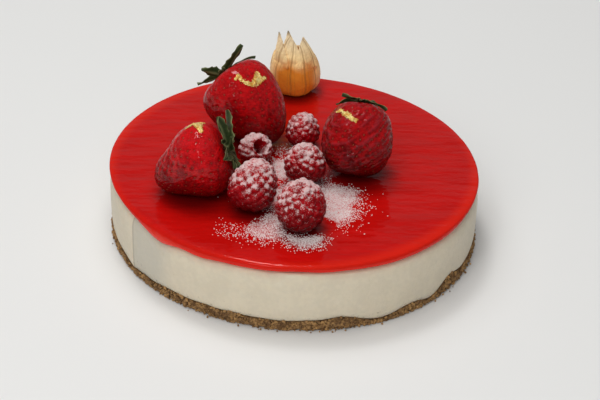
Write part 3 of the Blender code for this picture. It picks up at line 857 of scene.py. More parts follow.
# Each sepal is (towards, length, half width, lift, twist, rise): with no rise it follows the
# shoulder, and with a rise, in degrees, it stands straight out from the calyx. Each flake is
# a middle and a stroke through it of (right, up, half width), in millimetres.
STRAWBERRIES = (
    Strawberry(
        "strawberry_back",
        width=36.8 * MM,
        length=41.5 * MM,
        taper=0.52,
        blunt=0.21,
        waist=0.0,
        direction=(-0.64, 0.54, 0.54),
        seed=11,
        dark=0.8,
        ridges=0.0,
        sepals=(
            ((-0.8, -0.4, -0.5), 14, 1.5, 0.0, 0.4, 18),
            ((-0.6, -0.8, 0.1), 13, 2.8, 0.0, 0.4, 34),
            ((-0.4, 0.4, -0.8), 11, 2.4, 1.0, 0.0, None),
            ((-0.3, 0.9, -0.3), 12, 2.6, 2.0, 0.0, None),
            ((0.6, 0.0, 0.8), 19, 2.4, 0.0, -0.4, 10),
            ((0.5, 0.9, 0.0), 13, 2.4, 2.0, 0.0, None),
            ((0.8, 0.5, 0.4), 17, 1.2, 1.0, 0.0, None),
            ((0.0, -0.7, 0.7), 9, 2.4, 0.5, 0.0, None),
        ),
        flake=(
            (-21.7, 18.5, 71.4),
            (
                (-8.4, -1.6, 1.0), (-6.7, 0.4, 0.9), (-4.6, -2.2, 1.0), (-1.0, -3.2, 1.1),
                (1.6, -2.8, 1.3), (2.7, 1.4, 1.3), (3.4, 4.6, 1.1), (5.0, 1.2, 1.5), (4.0, -0.8, 1.3),
                (6.2, 1.8, 1.0), (8.0, 4.2, 0.6),
            ),
        ),
    ),
    Strawberry(
        "strawberry_left",
        width=36.2 * MM,
        length=37.6 * MM,
        taper=0.60,
        blunt=0.28,
        waist=0.14,
        direction=(0.88, 0.04, 0.47),
        seed=12,
        dark=0.92,
        ridges=0.35,
        sepals=(
            ((-0.3, 0.4, 1.0), 16, 2.4, 0.0, -0.9, 6),
            ((-0.1, 0.8, 0.6), 20, 3.2, 0.0, 0.9, 14),
            ((0.1, 1.0, -0.2), 12, 2.8, 1.0, 0.0, None),
            ((0.4, 0.5, -1.0), 11, 2.6, 1.0, 0.0, None),
            ((0.4, -0.3, -1.0), 12, 2.6, 1.0, 0.0, None),
            ((0.3, -0.9, -0.5), 11, 2.8, 1.0, 0.0, None),
            ((-0.3, -1.0, 0.1), 15, 3.3, 3.0, 0.0, None),
            ((0.35, -0.95, 0.3), 13, 2.2, 3.0, 0.0, None),
            ((-0.5, -0.65, 0.5), 11, 2.9, 3.0, 0.0, None),
            ((0.0, -0.5, 0.8), 11, 3.0, 0.0, 0.0, 32),
        ),
        flake=(
            (-46.5, -26.3, 69.9),
            (
                (-4.4, 0.2, 1.1), (-2.2, 2.2, 1.5), (0.6, 5.2, 1.7), (4.2, 6.6, 1.3), (1.2, 2.6, 2.3),
                (2.4, -0.6, 1.7), (3.8, -5.0, 0.8),
            ),
        ),
    ),
    Strawberry(
        "strawberry_right",
        width=33.2 * MM,
        length=34.4 * MM,
        taper=0.28,
        blunt=0.31,
        waist=0.0,
        direction=(0.12, 0.64, 0.76),
        seed=13,
        dark=0.62,
        ridges=1.0,
        sepals=(
            ((-1.0, 0.3, 0.0), 12, 2.2, 0.5, 0.0, None),
            ((-0.9, 0.0, 0.6), 11, 2.6, 0.0, 0.0, 4),
            ((-0.1, -0.5, 0.8), 9, 1.8, 0.0, 0.0, None),
            ((0.6, -0.3, 0.7), 11, 1.2, 0.0, 0.0, None),
            ((1.0, 0.0, 0.0), 12, 1.3, 0.0, 0.0, None),
            ((0.8, 0.6, -0.7), 11, 2.4, 0.5, 0.0, None),
            ((0.0, 0.8, -0.9), 10, 2.4, 0.5, 0.0, None),
            ((-0.8, 0.6, -0.5), 10, 2.4, 0.5, 0.0, None),
        ),
        flake=(
            (25.4, -12.8, 69.6),
            (
                (-5.6, 4.6, 0.9), (-3.4, 4.4, 1.2), (-2.2, 2.6, 0.6), (-0.9, 1.4, 1.3),
                (1.0, -1.4, 1.4), (2.9, -3.3, 1.0), (4.8, -4.2, 0.8),
            ),
        ),
    ),
)


# Painted sheen on the crests of the long ridges.
RIDGE_PAINTED_SHEEN = (0.36, 0.024, 0.036)


def strawberry_finish(colours, centre, dark):
    deep = scaled(colours.strawberry, dark * dark)
    light = scaled(colours.strawberry_pale_and_lit, dark)

    def colour(tree):
        vector = object_vector(tree, centre=centre)
        skin = mottled(tree, vector, deep, light, 130.0)
        # Painted shade: the skin darkens round each seed, in its pit.
        pitted = mixed(tree, times(tree, stored(tree, "shade"), 0.65), skin, scaled(deep, 0.5))
        height = parts_of(tree, vector)["Z"]
        # Painted light: the skin pales towards the top.
        with_painted_light = mixed(tree, ramp(tree, height, 2 * MM, 15 * MM, 0.0, 0.45), pitted, light)
        # Painted sheen: the crests of the long ridges are tinted pink.
        with_painted_sheen = mixed(tree, times(tree, stored(tree, "crest"), 0.4), with_painted_light, RIDGE_PAINTED_SHEEN)
        # Painted shade: the skin darkens towards its foot.
        foot = ramp(tree, height, -17 * MM, 8 * MM, 0.9, 0.0)
        return mixed(tree, foot, with_painted_sheen, scaled(deep, 0.45))

    return finish_of(
        "strawberry_skin", colour, grain_height(560.0, (1, 1, 2.0), (0.4, 0.5, 0)), 0.85 * MM,
        roughness=0.3, specular_ior_level=0.06, coat_weight=0.42, coat_roughness=0.06,
    )


class CHEESECAKE_OT_strawberries(bpy.types.Operator):
    """The strawberries: skins pitted round their seeds, and the seeds"""

    bl_idname = "cheesecake.strawberries"
    bl_label = "Strawberries"

    PIT_WIDTH = 0.95 * MM
    # A seed's size across, along and out of the skin
    SEED = (0.55 * MM, 0.95 * MM, 0.4 * MM)

    def execute(self, context):
        colours = context.scene.cheesecake_colours
        sizes = context.scene.cheesecake_sizes
        seed_coat = finish_of(
            "strawberry_seed",
            mottled_colour(colours.seed, scaled(colours.seed, 0.55), 500.0),
            roughness=0.4,
        )
        shapes = lump_shapes(1, 0.0, 0)
        for berry in STRAWBERRIES:
            spots = berry.seed_spots(sizes.seeds)
            skin, middle = self.pitted_skin(berry, spots, sizes)
            places = []
            rng = random.Random(berry.seed + 1)
            broad, long, deep = self.SEED
            for here, along, outward in spots:
                basis = Matrix((outward.cross(along), along, outward)).transposed()
                size = rng.uniform(0.9, 1.1)
                scale = Matrix.Diagonal((broad * size, long * size, deep, 1))
                spot = berry.turn @ (here - outward * 0.95 * sizes.dimple) + berry.shift
                places.append(Matrix.Translation(spot) @ (berry.turn @ basis).to_4x4() @ scale)
            seeds = scattered(berry.node + "_seeds", shapes, places, [0.5] * len(places))
            material = strawberry_finish(colours, middle, berry.dark)
            dressed(smooth(skin), material, "strawberry", berry.node)
            dressed(smooth(seeds), seed_coat, "strawberry")
        return {"FINISHED"}

    def pitted_skin(self, berry, spots, sizes):
        """The berry's pitted and wrinkled skin in its place, and the middle of its solid."""
        tree = kdtree.KDTree(len(spots))
        for i, (place, _, _) in enumerate(spots):
            tree.insert(place, i)
        tree.balance()
        add = bpy.ops.mesh.primitive_uv_sphere_add
        skin = started(add, berry.node + "_skin", segments=240, ring_count=132, radius=1)
        moved, pits, crests = [], [], []
        for v in skin.data.vertices:
            polar = math.pi - math.acos(max(-1.0, min(1.0, v.co.z)))
            spot = berry.skin_point(polar, math.atan2(v.co.y, v.co.x))
            outward = Vector((spot.x, spot.y, spot.z * 0.5)).normalized()
            near = math.exp(-((tree.find(spot)[2] / self.PIT_WIDTH) ** 2))
            height, crest = berry.wrinkle(spot)
            pits.append(near)
            crests.append(crest)
            sunk = sizes.dimple * near - height * sizes.wrinkle
            moved.append(berry.turn @ (spot - outward * sunk))
        for name, values in (("shade", pits), ("crest", crests)):
            skin.data.attributes.new(name, "FLOAT", "POINT").data.foreach_set("value", values)
        move_points(skin, moved)
        low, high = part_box(berry.node)
        middle = (low + high) / 2
        points = points_of(skin)
        shift = np.array(middle) - (points.min(0) + points.max(0)) / 2
        shift[2] = low.z - points[:, 2].min()
        move_points(skin, points + shift)
        berry.shift = Vector(shift)
        return skin, middle


class CHEESECAKE_OT_gold(bpy.types.Operator):
    """Crinkled gold leaf on each strawberry"""

    bl_idname = "cheesecake.gold"
    bl_label = "Gold Leaf"

    DEEP_GOLD = (0.74, 0.34, 0.04)
    SHEET = 26 * MM
    STEPS = 8

    def execute(self, context):
        gold = context.scene.cheesecake_colours.gold
        material = finish_of(
            "gold_leaf", mottled_colour(gold, self.DEEP_GOLD, 420.0), grain_height(500.0), 0.5 * MM,
            metallic=0.3, roughness=0.22,
        )
        for berry in STRAWBERRIES:
            skin = bpy.data.objects[berry.node + "_skin"]
            centre, path = berry.flake
            found, spot, normal, _ = skin.closest_point_on_mesh(Vector(centre) * MM)
            if not found:
                raise RuntimeError("the gold leaf has no skin to lie on")
            right = Vector((1, 0, 0))
            right = (right - normal * right.dot(normal)).normalized()
            turn = Matrix((right, normal.cross(right), normal)).transposed().to_4x4()
            add = bpy.ops.mesh.primitive_grid_add
            leaf = started(
                add, berry.node + "_gold", x_subdivisions=90, y_subdivisions=90, size=self.SHEET
            )
            self.trim(leaf, path, berry.seed)
            leaf.matrix_world = Matrix.Translation(spot + normal * MM) @ turn
            choose(leaf)
            bpy.ops.object.transform_apply(location=True, rotation=True, scale=True)
            modified(
                leaf, "SHRINKWRAP", target=skin, wrap_method="NEAREST_SURFACEPOINT",
                wrap_mode="OUTSIDE_SURFACE", offset=0.3 * MM,
            )
            roughened(leaf, 1.6 * MM, 0.9 * MM)
            modified(leaf, "SOLIDIFY", thickness=0.06 * MM)
            dressed(leaf, material, "strawberry")
        return {"FINISHED"}

    def trim(self, leaf, path, seed):
        """Leaves only what lies along the stroke, with a ragged edge."""
        strokes = [
            Vector(a).lerp(Vector(b), step / self.STEPS)
            for a, b in zip(path, path[1:])
            for step in range(self.STEPS)
        ]

        def outside(centre, _):
            x, y = centre.x / MM, centre.y / MM
            ragged = 0.8 * noise.noise(Vector((x * 1.5, y * 1.5, seed)))
            ragged += 0.3 * noise.noise(Vector((x * 0.5, y * 0.5, seed + 9)))
            return min(math.hypot(x - a, y - b) / width for a, b, width in strokes) + ragged > 1.05

        pick_faces(leaf, outside)
        bpy.ops.mesh.delete(type="FACE")
        bpy.ops.object.mode_set(mode="OBJECT")


def leaf_finish(colours):
    def colour(tree):
        base = mottled(tree, object_vector(tree), colours.leaf, scaled(colours.leaf, 1.7), 220.0)
        return mixed(tree, stored(tree, "shade"), base, colours.leaf_light)

    return finish_of(
        "sepal", colour, grain_height(900.0), 0.15 * MM, roughness=0.5, specular_ior_level=0.25
    )


class CHEESECAKE_OT_sepals(bpy.types.Operator):
    """The leafy calyx on each strawberry, each sepal folded along its rib"""

    bl_idname = "cheesecake.sepals"
    bl_label = "Sepals"

    ALONG = 26
    ACROSS = 8
    BROAD = 1.6 * MM
    ROOT = 2.6 * MM
    CLEAR = 0.9 * MM
    SPAN = 14 * MM
    FOLD = 0.5 * MM
    CURL = 0.9 * MM

    def execute(self, context):
        material = leaf_finish(context.scene.cheesecake_colours)
        for berry in STRAWBERRIES:
            rng = random.Random(berry.seed + 5)
            points, values = [], []
            for sepal in berry.sepals:
                new_points, new_values = self.sepal(berry, sepal, rng.uniform(0, math.tau))
                points += new_points
                values += new_values
            shades = np.clip(values, 0, 1)
            leaves = sheets(berry.node + "_sepals", points, self.ALONG, self.ACROSS, shades)
            modified(leaves, "SOLIDIFY", thickness=0.3 * MM, offset=0)
            dressed(smooth(rounded(leaves, 1)), material, "leaf", berry.node + "_calyx")
        return {"FINISHED"}

    def sepal(self, berry, sepal, wave):
        """One sepal's grid of points, and how pale each is: along the rib and at the edges."""
        distances, *shoulder = berry.meridian()
        towards, length, half_width, lift, twist, rise = sepal
        heading = berry.heading(towards)
        points, values = [], []
        for i in range(self.ALONG + 1):
            share = i / self.ALONG
            distance = share * length * MM
            radius, height, out, up = (np.interp(distance, distances, row) for row in shoulder)
            normal = Vector((out, up)).normalized()
            base = self.CLEAR + lift * MM * (distance / self.SPAN) ** 2
            if rise is not None and distance > self.ROOT:
                slope = math.radians(rise)
                radius = distance * math.cos(slope)
                height = berry.length / 2 + distance * math.sin(slope)
                normal = Vector((-math.sin(slope), math.cos(slope)))
                base = self.CLEAR
            breadth = math.sin(math.pi * min(1, 0.12 + 0.88 * share**0.85)) ** 0.8
            tooth = 0.3 * abs(math.sin(4.6 * math.pi * share + wave))
            for j in range(self.ACROSS + 1):
                side = 2 * j / self.ACROSS - 1
                width = max(0.05, breadth * (1 - tooth * abs(side)))
                sideways = side * self.BROAD * half_width * width
                fold = self.FOLD * abs(side) * breadth
                curl = self.CURL * (1 + math.sin(8 * share + 2.5 * side + wave)) * share * abs(side)
                off = max(0.4 * base, base + twist * sideways) + fold + curl
                angle = heading + sideways / max(radius, self.ROOT)
                r = radius + normal.x * off
                spot = Vector((r * math.cos(angle), r * math.sin(angle), height + normal.y * off))
                points.append(berry.turn @ spot + berry.shift)
                rib = max(0, 1 - 5 * abs(side)) * 0.6
                edge = max(0, abs(side) - 0.7) / 0.3 * (0.4 + 0.6 * math.sin(9 * share + wave) ** 2)
                values.append(rib + edge)
        return points, values


# Each raspberry: node, its width, length and drupelets' width in millimetres, the direction of
# its tip, its seed, and if it is hollow
RASPBERRIES = (
    ("raspberry_hollow", 18.4, 17.0, 3.3, (-0.43, 0.57, -0.62), 21, True),
    ("raspberry_back", 18.2, 20.0, 3.3, (0.05, -0.12, 1.0), 22, False),
    ("raspberry_middle", 21.2, 24.0, 3.6, (-0.05, -0.25, 0.95), 23, False),
    ("raspberry_left", 24.0, 28.5, 3.8, (0.30, 0.15, 0.95), 24, False),
    ("raspberry_front", 25.0, 29.0, 3.8, (0.10, -0.25, 0.95), 35, False),
)
# How much sugar fell on each, and a red place on it from its middle: (x, y, z, radius), in mm
DUSTINGS = {
    "raspberry_hollow": (1.15, (2, -8, -6, 6)),
    "raspberry_back": (0.85, (4, -8, -4, 6)),
    "raspberry_middle": (1.0, (7, -8, -3, 6)),
    "raspberry_left": (1.0, (-9, -8, -2, 8)),
    "raspberry_front": (1.0, (10, -7, 3, 8)),
}
# The share of a berry above its widest place, and how much its tip narrows
TIP_SHARE = 0.58
TIP_TAPER = 0.12


def drupelet_spots(width, length, drupelet, seed):
    """The drupelets' middles in a spiral from the tip, tip up."""
    rng = random.Random(seed)
    dome = 0.42 * drupelet
    reach = width / 2 - dome
    above = TIP_SHARE * length - dome
    below = (1 - TIP_SHARE) * length - dome
    count = round(4 * math.pi * reach * (above + below) / 2 / (0.9 * drupelet**2))
    spots = []
    for i in range(count):
        rise = 1 - 2 * (i + 0.5) / count
        around = i * GOLDEN_ANGLE
        radius = reach * math.sqrt(1 - rise * rise) ** 0.9 * (1 - TIP_TAPER * max(0.0, rise))
        spot = Vector((radius * math.cos(around), radius * math.sin(around), 0))
        spot.z = rise * (above if rise > 0 else below)
        spots.append(spot + Vector([rng.uniform(-1, 1) for _ in range(3)]) * 0.06 * drupelet)
    return spots, reach, above, below


def raspberry_finish(colours, node):
    low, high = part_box(node)
    tall = high.z - low.z
    amount, (x, y, z, radius) = DUSTINGS[node]
    red = (low + high) / 2 + Vector((x, y, z)) * MM

    def sockets(tree):
        vector = object_vector(tree)
        flesh = mottled(tree, vector, colours.raspberry, scaled(colours.raspberry, 1.9), 160.0)
        # The flesh darkens towards each berry's foot as painted shade; the sugar lies thickest on top and
        # leaves the feet bare.
        height = parts_of(tree, vector)["Z"]
        foot = ramp(tree, height, low.z, low.z + 0.8 * tall, 0.95, 0.0)
        flesh = mixed(tree, foot, flesh, scaled(colours.raspberry, 0.15))
        start, full = low.z + 0.2 * tall, low.z + 0.72 * tall
        dusted = ramp(tree, height, start, full, 0.1 * amount, 1.15 * amount)
        patchy = ramp(tree, texture_noise(tree, vector, 230.0, 1.0), 0.36, 0.62, 0.55, 1.08)
        bare = spotted(tree, vector, red, 0.5 * radius * MM, 1.3 * radius * MM)
        lying = times(tree, dusted, times_plus(tree, bare, -0.5, patchy))
        mask = placed_effect(tree, "Sugar Dusting", Vector=vector, Amount=lying, Scale=1100.0)
        return {
            "Base Color": mixed(tree, times(tree, mask, 0.62), flesh, colours.sugar),
            "Roughness": ramp(tree, mask, 0.0, 0.6, 0.28, 0.95),
        }

    return finish_of(
        "raspberry_flesh", height=grain_height(800.0), sockets=sockets, distance=0.12 * MM,
        specular_ior_level=0.16,
    )


class CHEESECAKE_OT_raspberries(bpy.types.Operator):
    """The raspberries: drupelets grown together round a core, one of them hollow"""

    bl_idname = "cheesecake.raspberries"
    bl_label = "Raspberries"

    def execute(self, context):
        voxel = context.scene.cheesecake_sizes.drupelet_voxel
        ball = started(bpy.ops.mesh.primitive_ico_sphere_add, "ball", subdivisions=2, radius=0.5)
        shape = taken(ball)
        for node, width, length, drupelet, direction, seed, hollow in RASPBERRIES:
            rng = random.Random(seed + 100)
            spots, reach, above, below = drupelet_spots(width, length, drupelet, seed)
            sink = 1 - 0.10 * drupelet / reach
            places = []
            for spot in spots:
                if hollow and spot.z < -0.93 * below:
                    continue
                size = drupelet * rng.uniform(1.16, 1.36)
                places.append(Matrix.Translation(spot * sink) @ Matrix.Scale(size, 4))
            core = Matrix.Translation((0, 0, (above - below) / 2))
            broad = 2.04 * reach * 0.96
            places.append(core @ Matrix.Diagonal((broad, broad, (above + below) * 0.98, 1)))
            berry = scattered(node + "_flesh", [shape], places, [0] * len(places))
            move_points(berry, points_of(berry) * MM)
            modified(berry, "REMESH", mode="VOXEL", voxel_size=voxel)
            if hollow:
                self.hollow_out(berry, reach * MM, length * MM, below * MM, voxel)
            modified(berry, "SMOOTH", factor=0.5, iterations=3)
            turn = Vector(direction).normalized().to_track_quat("Z", "Y")
            berry.matrix_world = turn.to_matrix().to_4x4()
            choose(berry)
            bpy.ops.object.transform_apply(location=True, rotation=True, scale=True)
            low, high = (np.array(corner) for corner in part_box(node))
            points = points_of(berry)
            least, most = points.min(0), points.max(0)
            move_points(berry, low + (points - least) * (high - low) / (most - least))
            material = raspberry_finish(context.scene.cheesecake_colours, node)
            dressed(smooth(berry), material, "raspberry", node)
        return {"FINISHED"}

    def hollow_out(self, berry, reach, length, below, voxel):
        """Takes out the space that the plug left."""
        depth = 0.75 * length
        plug = started(
            bpy.ops.mesh.primitive_cone_add,
            "plug",
            vertices=40,
            radius1=0.62 * reach,
            radius2=0.30 * reach,
            depth=depth,
            location=(0, 0, -below - 0.3 * depth + depth / 2),
        )
        bpy.ops.object.transform_apply(location=True, rotation=True, scale=True)
        modified(berry, "BOOLEAN", operation="DIFFERENCE", object=plug, solver="MANIFOLD")
        bpy.data.objects.remove(plug)
        modified(berry, "REMESH", mode="VOXEL", voxel_size=voxel)


HUSK_RIBS = 10
HUSK_PALE = (0.70, 0.58, 0.40)
# Painted glow where the berry would show through the husk.
HUSK_GLOW = (0.72, 0.20, 0.001)
HUSK_TIP = (0.10, 0.08, 0.05)


def husk_finish(colours, centre):
    # Turns the ribs so that one runs up the front, left of the middle.
    rib_turn = -0.524

    def sockets(tree):
        vector = object_vector(tree, centre=centre)
        parts = parts_of(tree, vector)
        height = parts["Z"]
        around = add_node(tree, "ShaderNodeTexGradient", {"Vector": vector}, gradient_type="RADIAL")
        wander = texture_noise(tree, vector, 90.0, 2.0)
        angle = times_plus(tree, wander, 0.035, around.outputs["Fac"])
        wave = math_node(tree, "SINE", times(tree, angle, 2 * HUSK_RIBS * math.tau))
        rib = math_node(tree, "SINE", times_plus(tree, angle, HUSK_RIBS * math.tau, rib_turn))
        fine = ramp(tree, wave, 0.70, 1.0, 0.0, 0.35)
        strong = ramp(tree, rib, 0.86, 1.0)
        cells = {"Vector": vector, "Scale": 380.0}
        net = add_node(tree, "ShaderNodeTexVoronoi", cells, feature="DISTANCE_TO_EDGE")
        mesh = ramp(tree, net.outputs["Distance"], 0.0, 0.08, 0.2, 0.0)
        veins = math_node(tree, "MAXIMUM", math_node(tree, "MAXIMUM", fine, strong), mesh)
        base = mottled(tree, vector, colours.husk, scaled(colours.husk, 1.2), 140.0)
        # The husk pales upwards, a painted glow low on its front stands for the berry showing through, and
        # the tips are dark and dry.
        high = ramp(tree, height, 10 * MM, 22 * MM)
        body = mixed(tree, times(tree, high, 0.7), base, HUSK_PALE)
        middle = ramp(tree, math_node(tree, "ABSOLUTE", parts["X"]), 8 * MM, 12.5 * MM, 1.0, 0.12)
        patchy = times_plus(tree, wander, 10 * MM, height)
        glow = times(tree, ramp(tree, patchy, 11 * MM, 17.5 * MM, 0.92, 0.0), middle)
        with_painted_light = mixed(tree, glow, body, HUSK_GLOW)
        veined = mixed(tree, times(tree, veins, 0.45), with_painted_light, colours.husk_vein)
        tip = ramp(tree, height, 21.5 * MM, 24.5 * MM, 0.0, 0.8)
        tipped = mixed(tree, tip, veined, HUSK_TIP)
        return {
            "Base Color": tipped,
            "Emission Color": tipped,
            "Height": times_plus(tree, veins, 0.5, texture_noise(tree, vector, 240.0)),
        }

    # Painted light: the whole husk also glows faintly by its own emission.
    return finish_of(
        "papery_husk", sockets=sockets, distance=0.6 * MM, roughness=0.45, specular_ior_level=0.12,
        emission_strength=0.09,
    )


class CHEESECAKE_OT_physalis(bpy.types.Operator):
    """The cape gooseberry: an orange berry in its veined papery husk"""

    bl_idname = "cheesecake.physalis"
    bl_label = "Cape Gooseberry"

    # Each lobe round the husk's mouth: its two root corners and its tip, in millimetres from
    # the middle of the husk's foot, and how far its first edge bulges
    LOBES = (
        ((-12.6, -3.4, 17), (-3.4, -12.2, 18), (-8.7, -1.0, 34.2), -1.6),
        ((-8.0, -9.6, 18), (4.4, -11.6, 18), (-4.1, -0.5, 34.7), 0.4),
        ((0.9, -12.4, 18), (11.6, -4.4, 16), (3.6, -1.0, 31.8), 1.3),
        ((11.0, 2.8, 16), (3.6, 11.0, 17), (4.0, 4.0, 26.0), 1.3),
        ((-2.4, 12.0, 18), (-12.0, 3.6, 17), (-4.0, 4.5, 26.0), 1.3),
    )
    ROWS = 16
    COLUMNS = 12
    BULGE = 1.3
    BOW = 1.6
    MOUTH = 20 * MM

    def execute(self, context):
        colours = context.scene.cheesecake_colours
        husk = copied("physalis_husk", "husk")
        low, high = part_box("physalis_husk")
        foot = Vector(((low.x + high.x) / 2, (low.y + high.y) / 2, low.z))
        lobes = self.lobes(foot)
        material = husk_finish(colours, foot + 10 * MM * UP)
        rounded(husk, 2)
        points = points_of(husk)
        points[:, 2] -= 0.8 * np.maximum(points[:, 2] - low.z - self.MOUTH, 0)
        move_points(husk, points)
        for piece in (husk, lobes):
            smooth(roughened(piece, 5 * MM, 1.0 * MM))
        dressed(husk, material, "husk", "physalis_husk")
        dressed(lobes, material, "husk")
        low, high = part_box("physalis_berry")
        berry = started(
            bpy.ops.mesh.primitive_uv_sphere_add,
            "gooseberry",
            segments=64,
            ring_count=32,
            radius=(high.z - low.z) / 2,
            location=(low + high) / 2,
        )
        bpy.ops.object.transform_apply(location=True, rotation=True, scale=True)
        roughened(berry, 9 * MM, 0.4 * MM)
        orange = colours.gooseberry
        skin = mottled_colour(orange, scaled(orange, 0.8), 120.0)
        material = finish_of("gooseberry_skin", skin, roughness=0.3)
        dressed(smooth(berry), material, "gooseberry", "physalis_berry")
        return {"FINISHED"}

    def lobes(self, foot):
        """The papery points round the husk's mouth, each a bowed sheet that narrows to its tip."""
        points = []
        for corners in self.LOBES:
            left, right, tip = (Vector(corner) for corner in corners[:3])
            across = (right - left).normalized()
            for i in range(self.ROWS + 1):
                up = i / self.ROWS
                for j in range(self.COLUMNS + 1):
                    side = 2 * j / self.COLUMNS - 1
                    spot = left.lerp(right, (side + 1) / 2).lerp(tip, up)
                    out = Vector((spot.x, spot.y, 0)).normalized()
                    bow = self.BOW * math.sin(math.pi * min(1, 0.1 + up)) * (1 - side * side)
                    bulge = corners[3] if side < 0 else self.BULGE
                    broad = bulge * side * math.sin(math.pi * up)
                    points.append(foot + (spot + out * bow + across * broad) * MM)
        made = sheets("husk_lobes", points, self.ROWS, self.COLUMNS)
        modified(made, "WELD", merge_threshold=0.02 * MM)
        modified(made, "SOLIDIFY", thickness=0.2 * MM, offset=0)
        return rounded(made, 1)


def sugar_density(x, y):
    """How thickly the sugar lies at a place, in millimetres."""
    amount = 0.0
    for a, b, radius, most in SUGAR_HEAPS:
        amount = max(amount, most * math.exp(-((math.hypot(x - a, y - b) / radius) ** 4)))
    for a, b, radius in SUGAR_BARE:
        amount *= 1 - 0.96 * math.exp(-((math.hypot(x - a, y - b) / radius) ** 6))
    clump = 0.5 + 0.5 * noise.noise(Vector((x * 0.35, y * 0.35, 3)))
    return amount**1.5 * (0.35 + 1.0 * clump)


class CHEESECAKE_OT_sugar(bpy.types.Operator):
    """Icing sugar, sifted over the raspberries and the jelly round them"""

    bl_idname = "cheesecake.sugar"
    bl_label = "Icing Sugar"

    # Where grains may fall on the jelly, across and towards the back, in millimetres
    ACROSS = (-40, 52)
    BACK = (-86, 26)
    # A grain's least and greatest size on the jelly and on a berry
    LOOSE = (0.3 * MM, 0.9 * MM)
    STUCK = (0.15 * MM, 0.42 * MM)
    FLATNESS = 0.6

    def execute(self, context):
        sizes = context.scene.cheesecake_sizes
        sugar = context.scene.cheesecake_colours.sugar
        colour = mottled_colour(sugar, scaled(sugar, 0.92), 800.0)
        material = finish_of("icing_sugar", colour, roughness=0.9)
        shapes = lump_shapes(4, 0.12, 40, fine=True)
        rng = random.Random(77)
        places = []
        while len(places) < sizes.sugar_grains:
            x, y = rng.uniform(*self.ACROSS), rng.uniform(*self.BACK)
            if rng.random() < sugar_density(x, y):
                size = rng.uniform(*self.LOOSE)
                spot = (x * MM, y * MM, JELLY_TOP + 0.15 * size)
                places.append(placed(spot, size, UP, rng, self.FLATNESS))
        heap = scattered("sugar_on_jelly", shapes, places, [1] * len(places))
        dressed(heap, material, "jelly")
        for node, *_ in RASPBERRIES:
            places = [
                placed(spot, rng.uniform(*self.STUCK), normal, rng, self.FLATNESS)
                for spot, normal in self.dusted_spots(node, sizes.dusting_grains)
            ]
            dusting = scattered(node + "_sugar", shapes, places, [1] * len(places))
            dressed(dusting, material, "raspberry")
        return {"FINISHED"}

    def dusted_spots(self, node, count):
        """Places on a raspberry and their normals, most of them on what looks up, high on it."""
        faces = bpy.data.objects[node + "_flesh"].data.polygons
        areas, normals, centres = (np.empty(len(faces) * n) for n in (1, 3, 3))
        faces.foreach_get("area", areas)
        faces.foreach_get("normal", normals)
        faces.foreach_get("center", centres)
        normals, centres = normals.reshape(-1, 3), centres.reshape(-1, 3)
        share = np.clip((centres[:, 2] - JELLY_TOP - 5 * MM) / (14 * MM), 0.03, 1)
        weights = areas * share * np.clip(normals[:, 2] + 0.15, 0, 1)
        middle = sum(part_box(node), Vector()) / 2
        _, (*red, radius) = DUSTINGS[node]
        away = np.linalg.norm(centres / MM - middle / MM - red, axis=1)
        weights *= np.clip((away / radius) ** 2, 0.15, 1)
        draw = np.random.default_rng(5)
        chosen = draw.choice(len(faces), count, p=weights / weights.sum())
        return [(centres[i] + normals[i] * 0.03 * MM, normals[i]) for i in chosen]


# The camera, as the photograph's: places in metres, angles in degrees, the lens in millimetres
CAMERA_TARGET = Vector((3.5 * MM, 0, 14.8 * MM))
CAMERA_DISTANCE = 0.9386
CAMERA_ELEVATION = 32.156
CAMERA_ROLL = 0.978
CAMERA_LENS = 114
# The soft lights: name, place and width in metres, power, and if reflections show it
LIGHTS = (
    ("overhead", (-0.25, 0.40, 1.5), 1.5, 11.5, False),
    ("sparkle", (-0.20, 0.45, 1.4), 0.32, 3.4, True),
    ("glint", (-0.5, -1.0, 1.3), 0.3, 1.6, True),
    ("fill", (-0.25, -1.1, 1.0), 1.4, 11.4, False),
    ("panel", (0, 2.2, 0.45), 2.1, 1.1, True),
)
FLOOR_SIZE = 8
FLOOR_GAP = 0.2 * MM
STUDIO_COLOUR = (0.95, 0.97, 1.0)
STUDIO_STRENGTH = 0.16


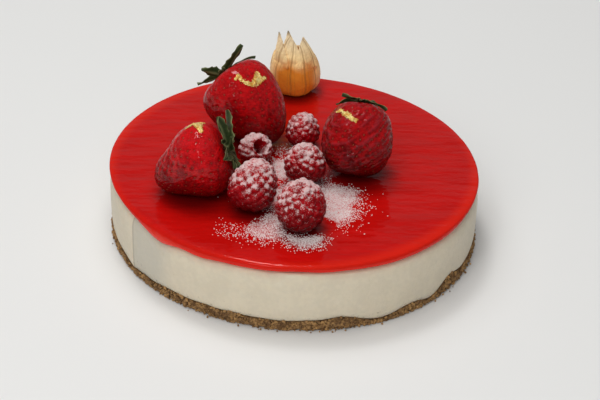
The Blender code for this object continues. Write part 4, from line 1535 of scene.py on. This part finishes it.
class CHEESECAKE_OT_stage(bpy.types.Operator):
    """The pale floor, the soft lights and the camera"""

    bl_idname = "cheesecake.stage"
    bl_label = "Stage"

    def execute(self, context):
        scene = context.scene
        add = bpy.ops.mesh.primitive_plane_add
        floor = started(add, "pale_floor", size=FLOOR_SIZE, location=(0, 0, -FLOOR_GAP))
        colour = shade(scene.cheesecake_colours.floor)
        floor.data.materials.append(finish_of("pale_floor", roughness=0.6, base_color=colour))
        world = bpy.data.worlds.new("studio")
        world.use_nodes = True
        background = world.node_tree.nodes["Background"].inputs
        background["Color"].default_value = shade(STUDIO_COLOUR)
        background["Strength"].default_value = STUDIO_STRENGTH
        scene.world = world
        for light in LIGHTS:
            self.soft_light(*light)
        elevation = math.radians(CAMERA_ELEVATION)
        away = Vector((0, -math.cos(elevation), math.sin(elevation)))
        bpy.ops.object.camera_add(location=CAMERA_TARGET + away * CAMERA_DISTANCE)
        camera = bpy.context.object
        level = (-away).to_track_quat("-Z", "Y").to_matrix()
        roll = Matrix.Rotation(math.radians(CAMERA_ROLL), 3, "Z")
        camera.rotation_euler = (level @ roll).to_euler()
        camera.data.lens = CAMERA_LENS
        camera.data.sensor_width = 36
        camera.data.clip_start = 0.05
        scene.camera = camera
        scene.view_settings.view_transform = "Standard"
        return {"FINISHED"}

    def soft_light(self, name, place, width, power, glossy):
        bpy.ops.object.light_add(type="AREA", location=place)
        light = bpy.context.object
        light.name = name
        light.data.shape = "DISK"
        light.data.size = width
        light.data.energy = power
        light.visible_glossy = glossy
        light.rotation_euler = Vector(place).to_track_quat("Z", "Y").to_euler()


OPERATORS = (
    CHEESECAKE_OT_stage,
    CHEESECAKE_OT_crust,
    CHEESECAKE_OT_cheese,
    CHEESECAKE_OT_jelly,
    CHEESECAKE_OT_strawberries,
    CHEESECAKE_OT_gold,
    CHEESECAKE_OT_sepals,
    CHEESECAKE_OT_raspberries,
    CHEESECAKE_OT_physalis,
    CHEESECAKE_OT_sugar,
)


class CHEESECAKE_PT_panel(bpy.types.Panel):
    """Lists the cake's pieces in the order they are made"""

    bl_idname = "CHEESECAKE_PT_panel"
    bl_label = "Cheesecake"
    bl_space_type = "VIEW_3D"
    bl_region_type = "UI"
    bl_category = "Cheesecake"

    def draw(self, context):
        for operator in OPERATORS:
            self.layout.operator(operator.bl_idname)
        for group in (context.scene.cheesecake_sizes, context.scene.cheesecake_colours):
            box = self.layout.box()
            for name in group.__annotations__:
                box.prop(group, name)


CLASSES = (CheesecakeSizes, CheesecakeColours, *OPERATORS, CHEESECAKE_PT_panel)


def register():
    for each in CLASSES:
        bpy.utils.register_class(each)
    bpy.types.Scene.cheesecake_sizes = PointerProperty(type=CheesecakeSizes)
    bpy.types.Scene.cheesecake_colours = PointerProperty(type=CheesecakeColours)


def unregister():
    del bpy.types.Scene.cheesecake_colours
    del bpy.types.Scene.cheesecake_sizes
    for each in reversed(CLASSES):
        bpy.utils.unregister_class(each)


def main():
    register()
    for operator in OPERATORS:
        family, name = operator.bl_idname.split(".")
        getattr(getattr(bpy.ops, family), name)()


if __name__ == "__main__":
    main()
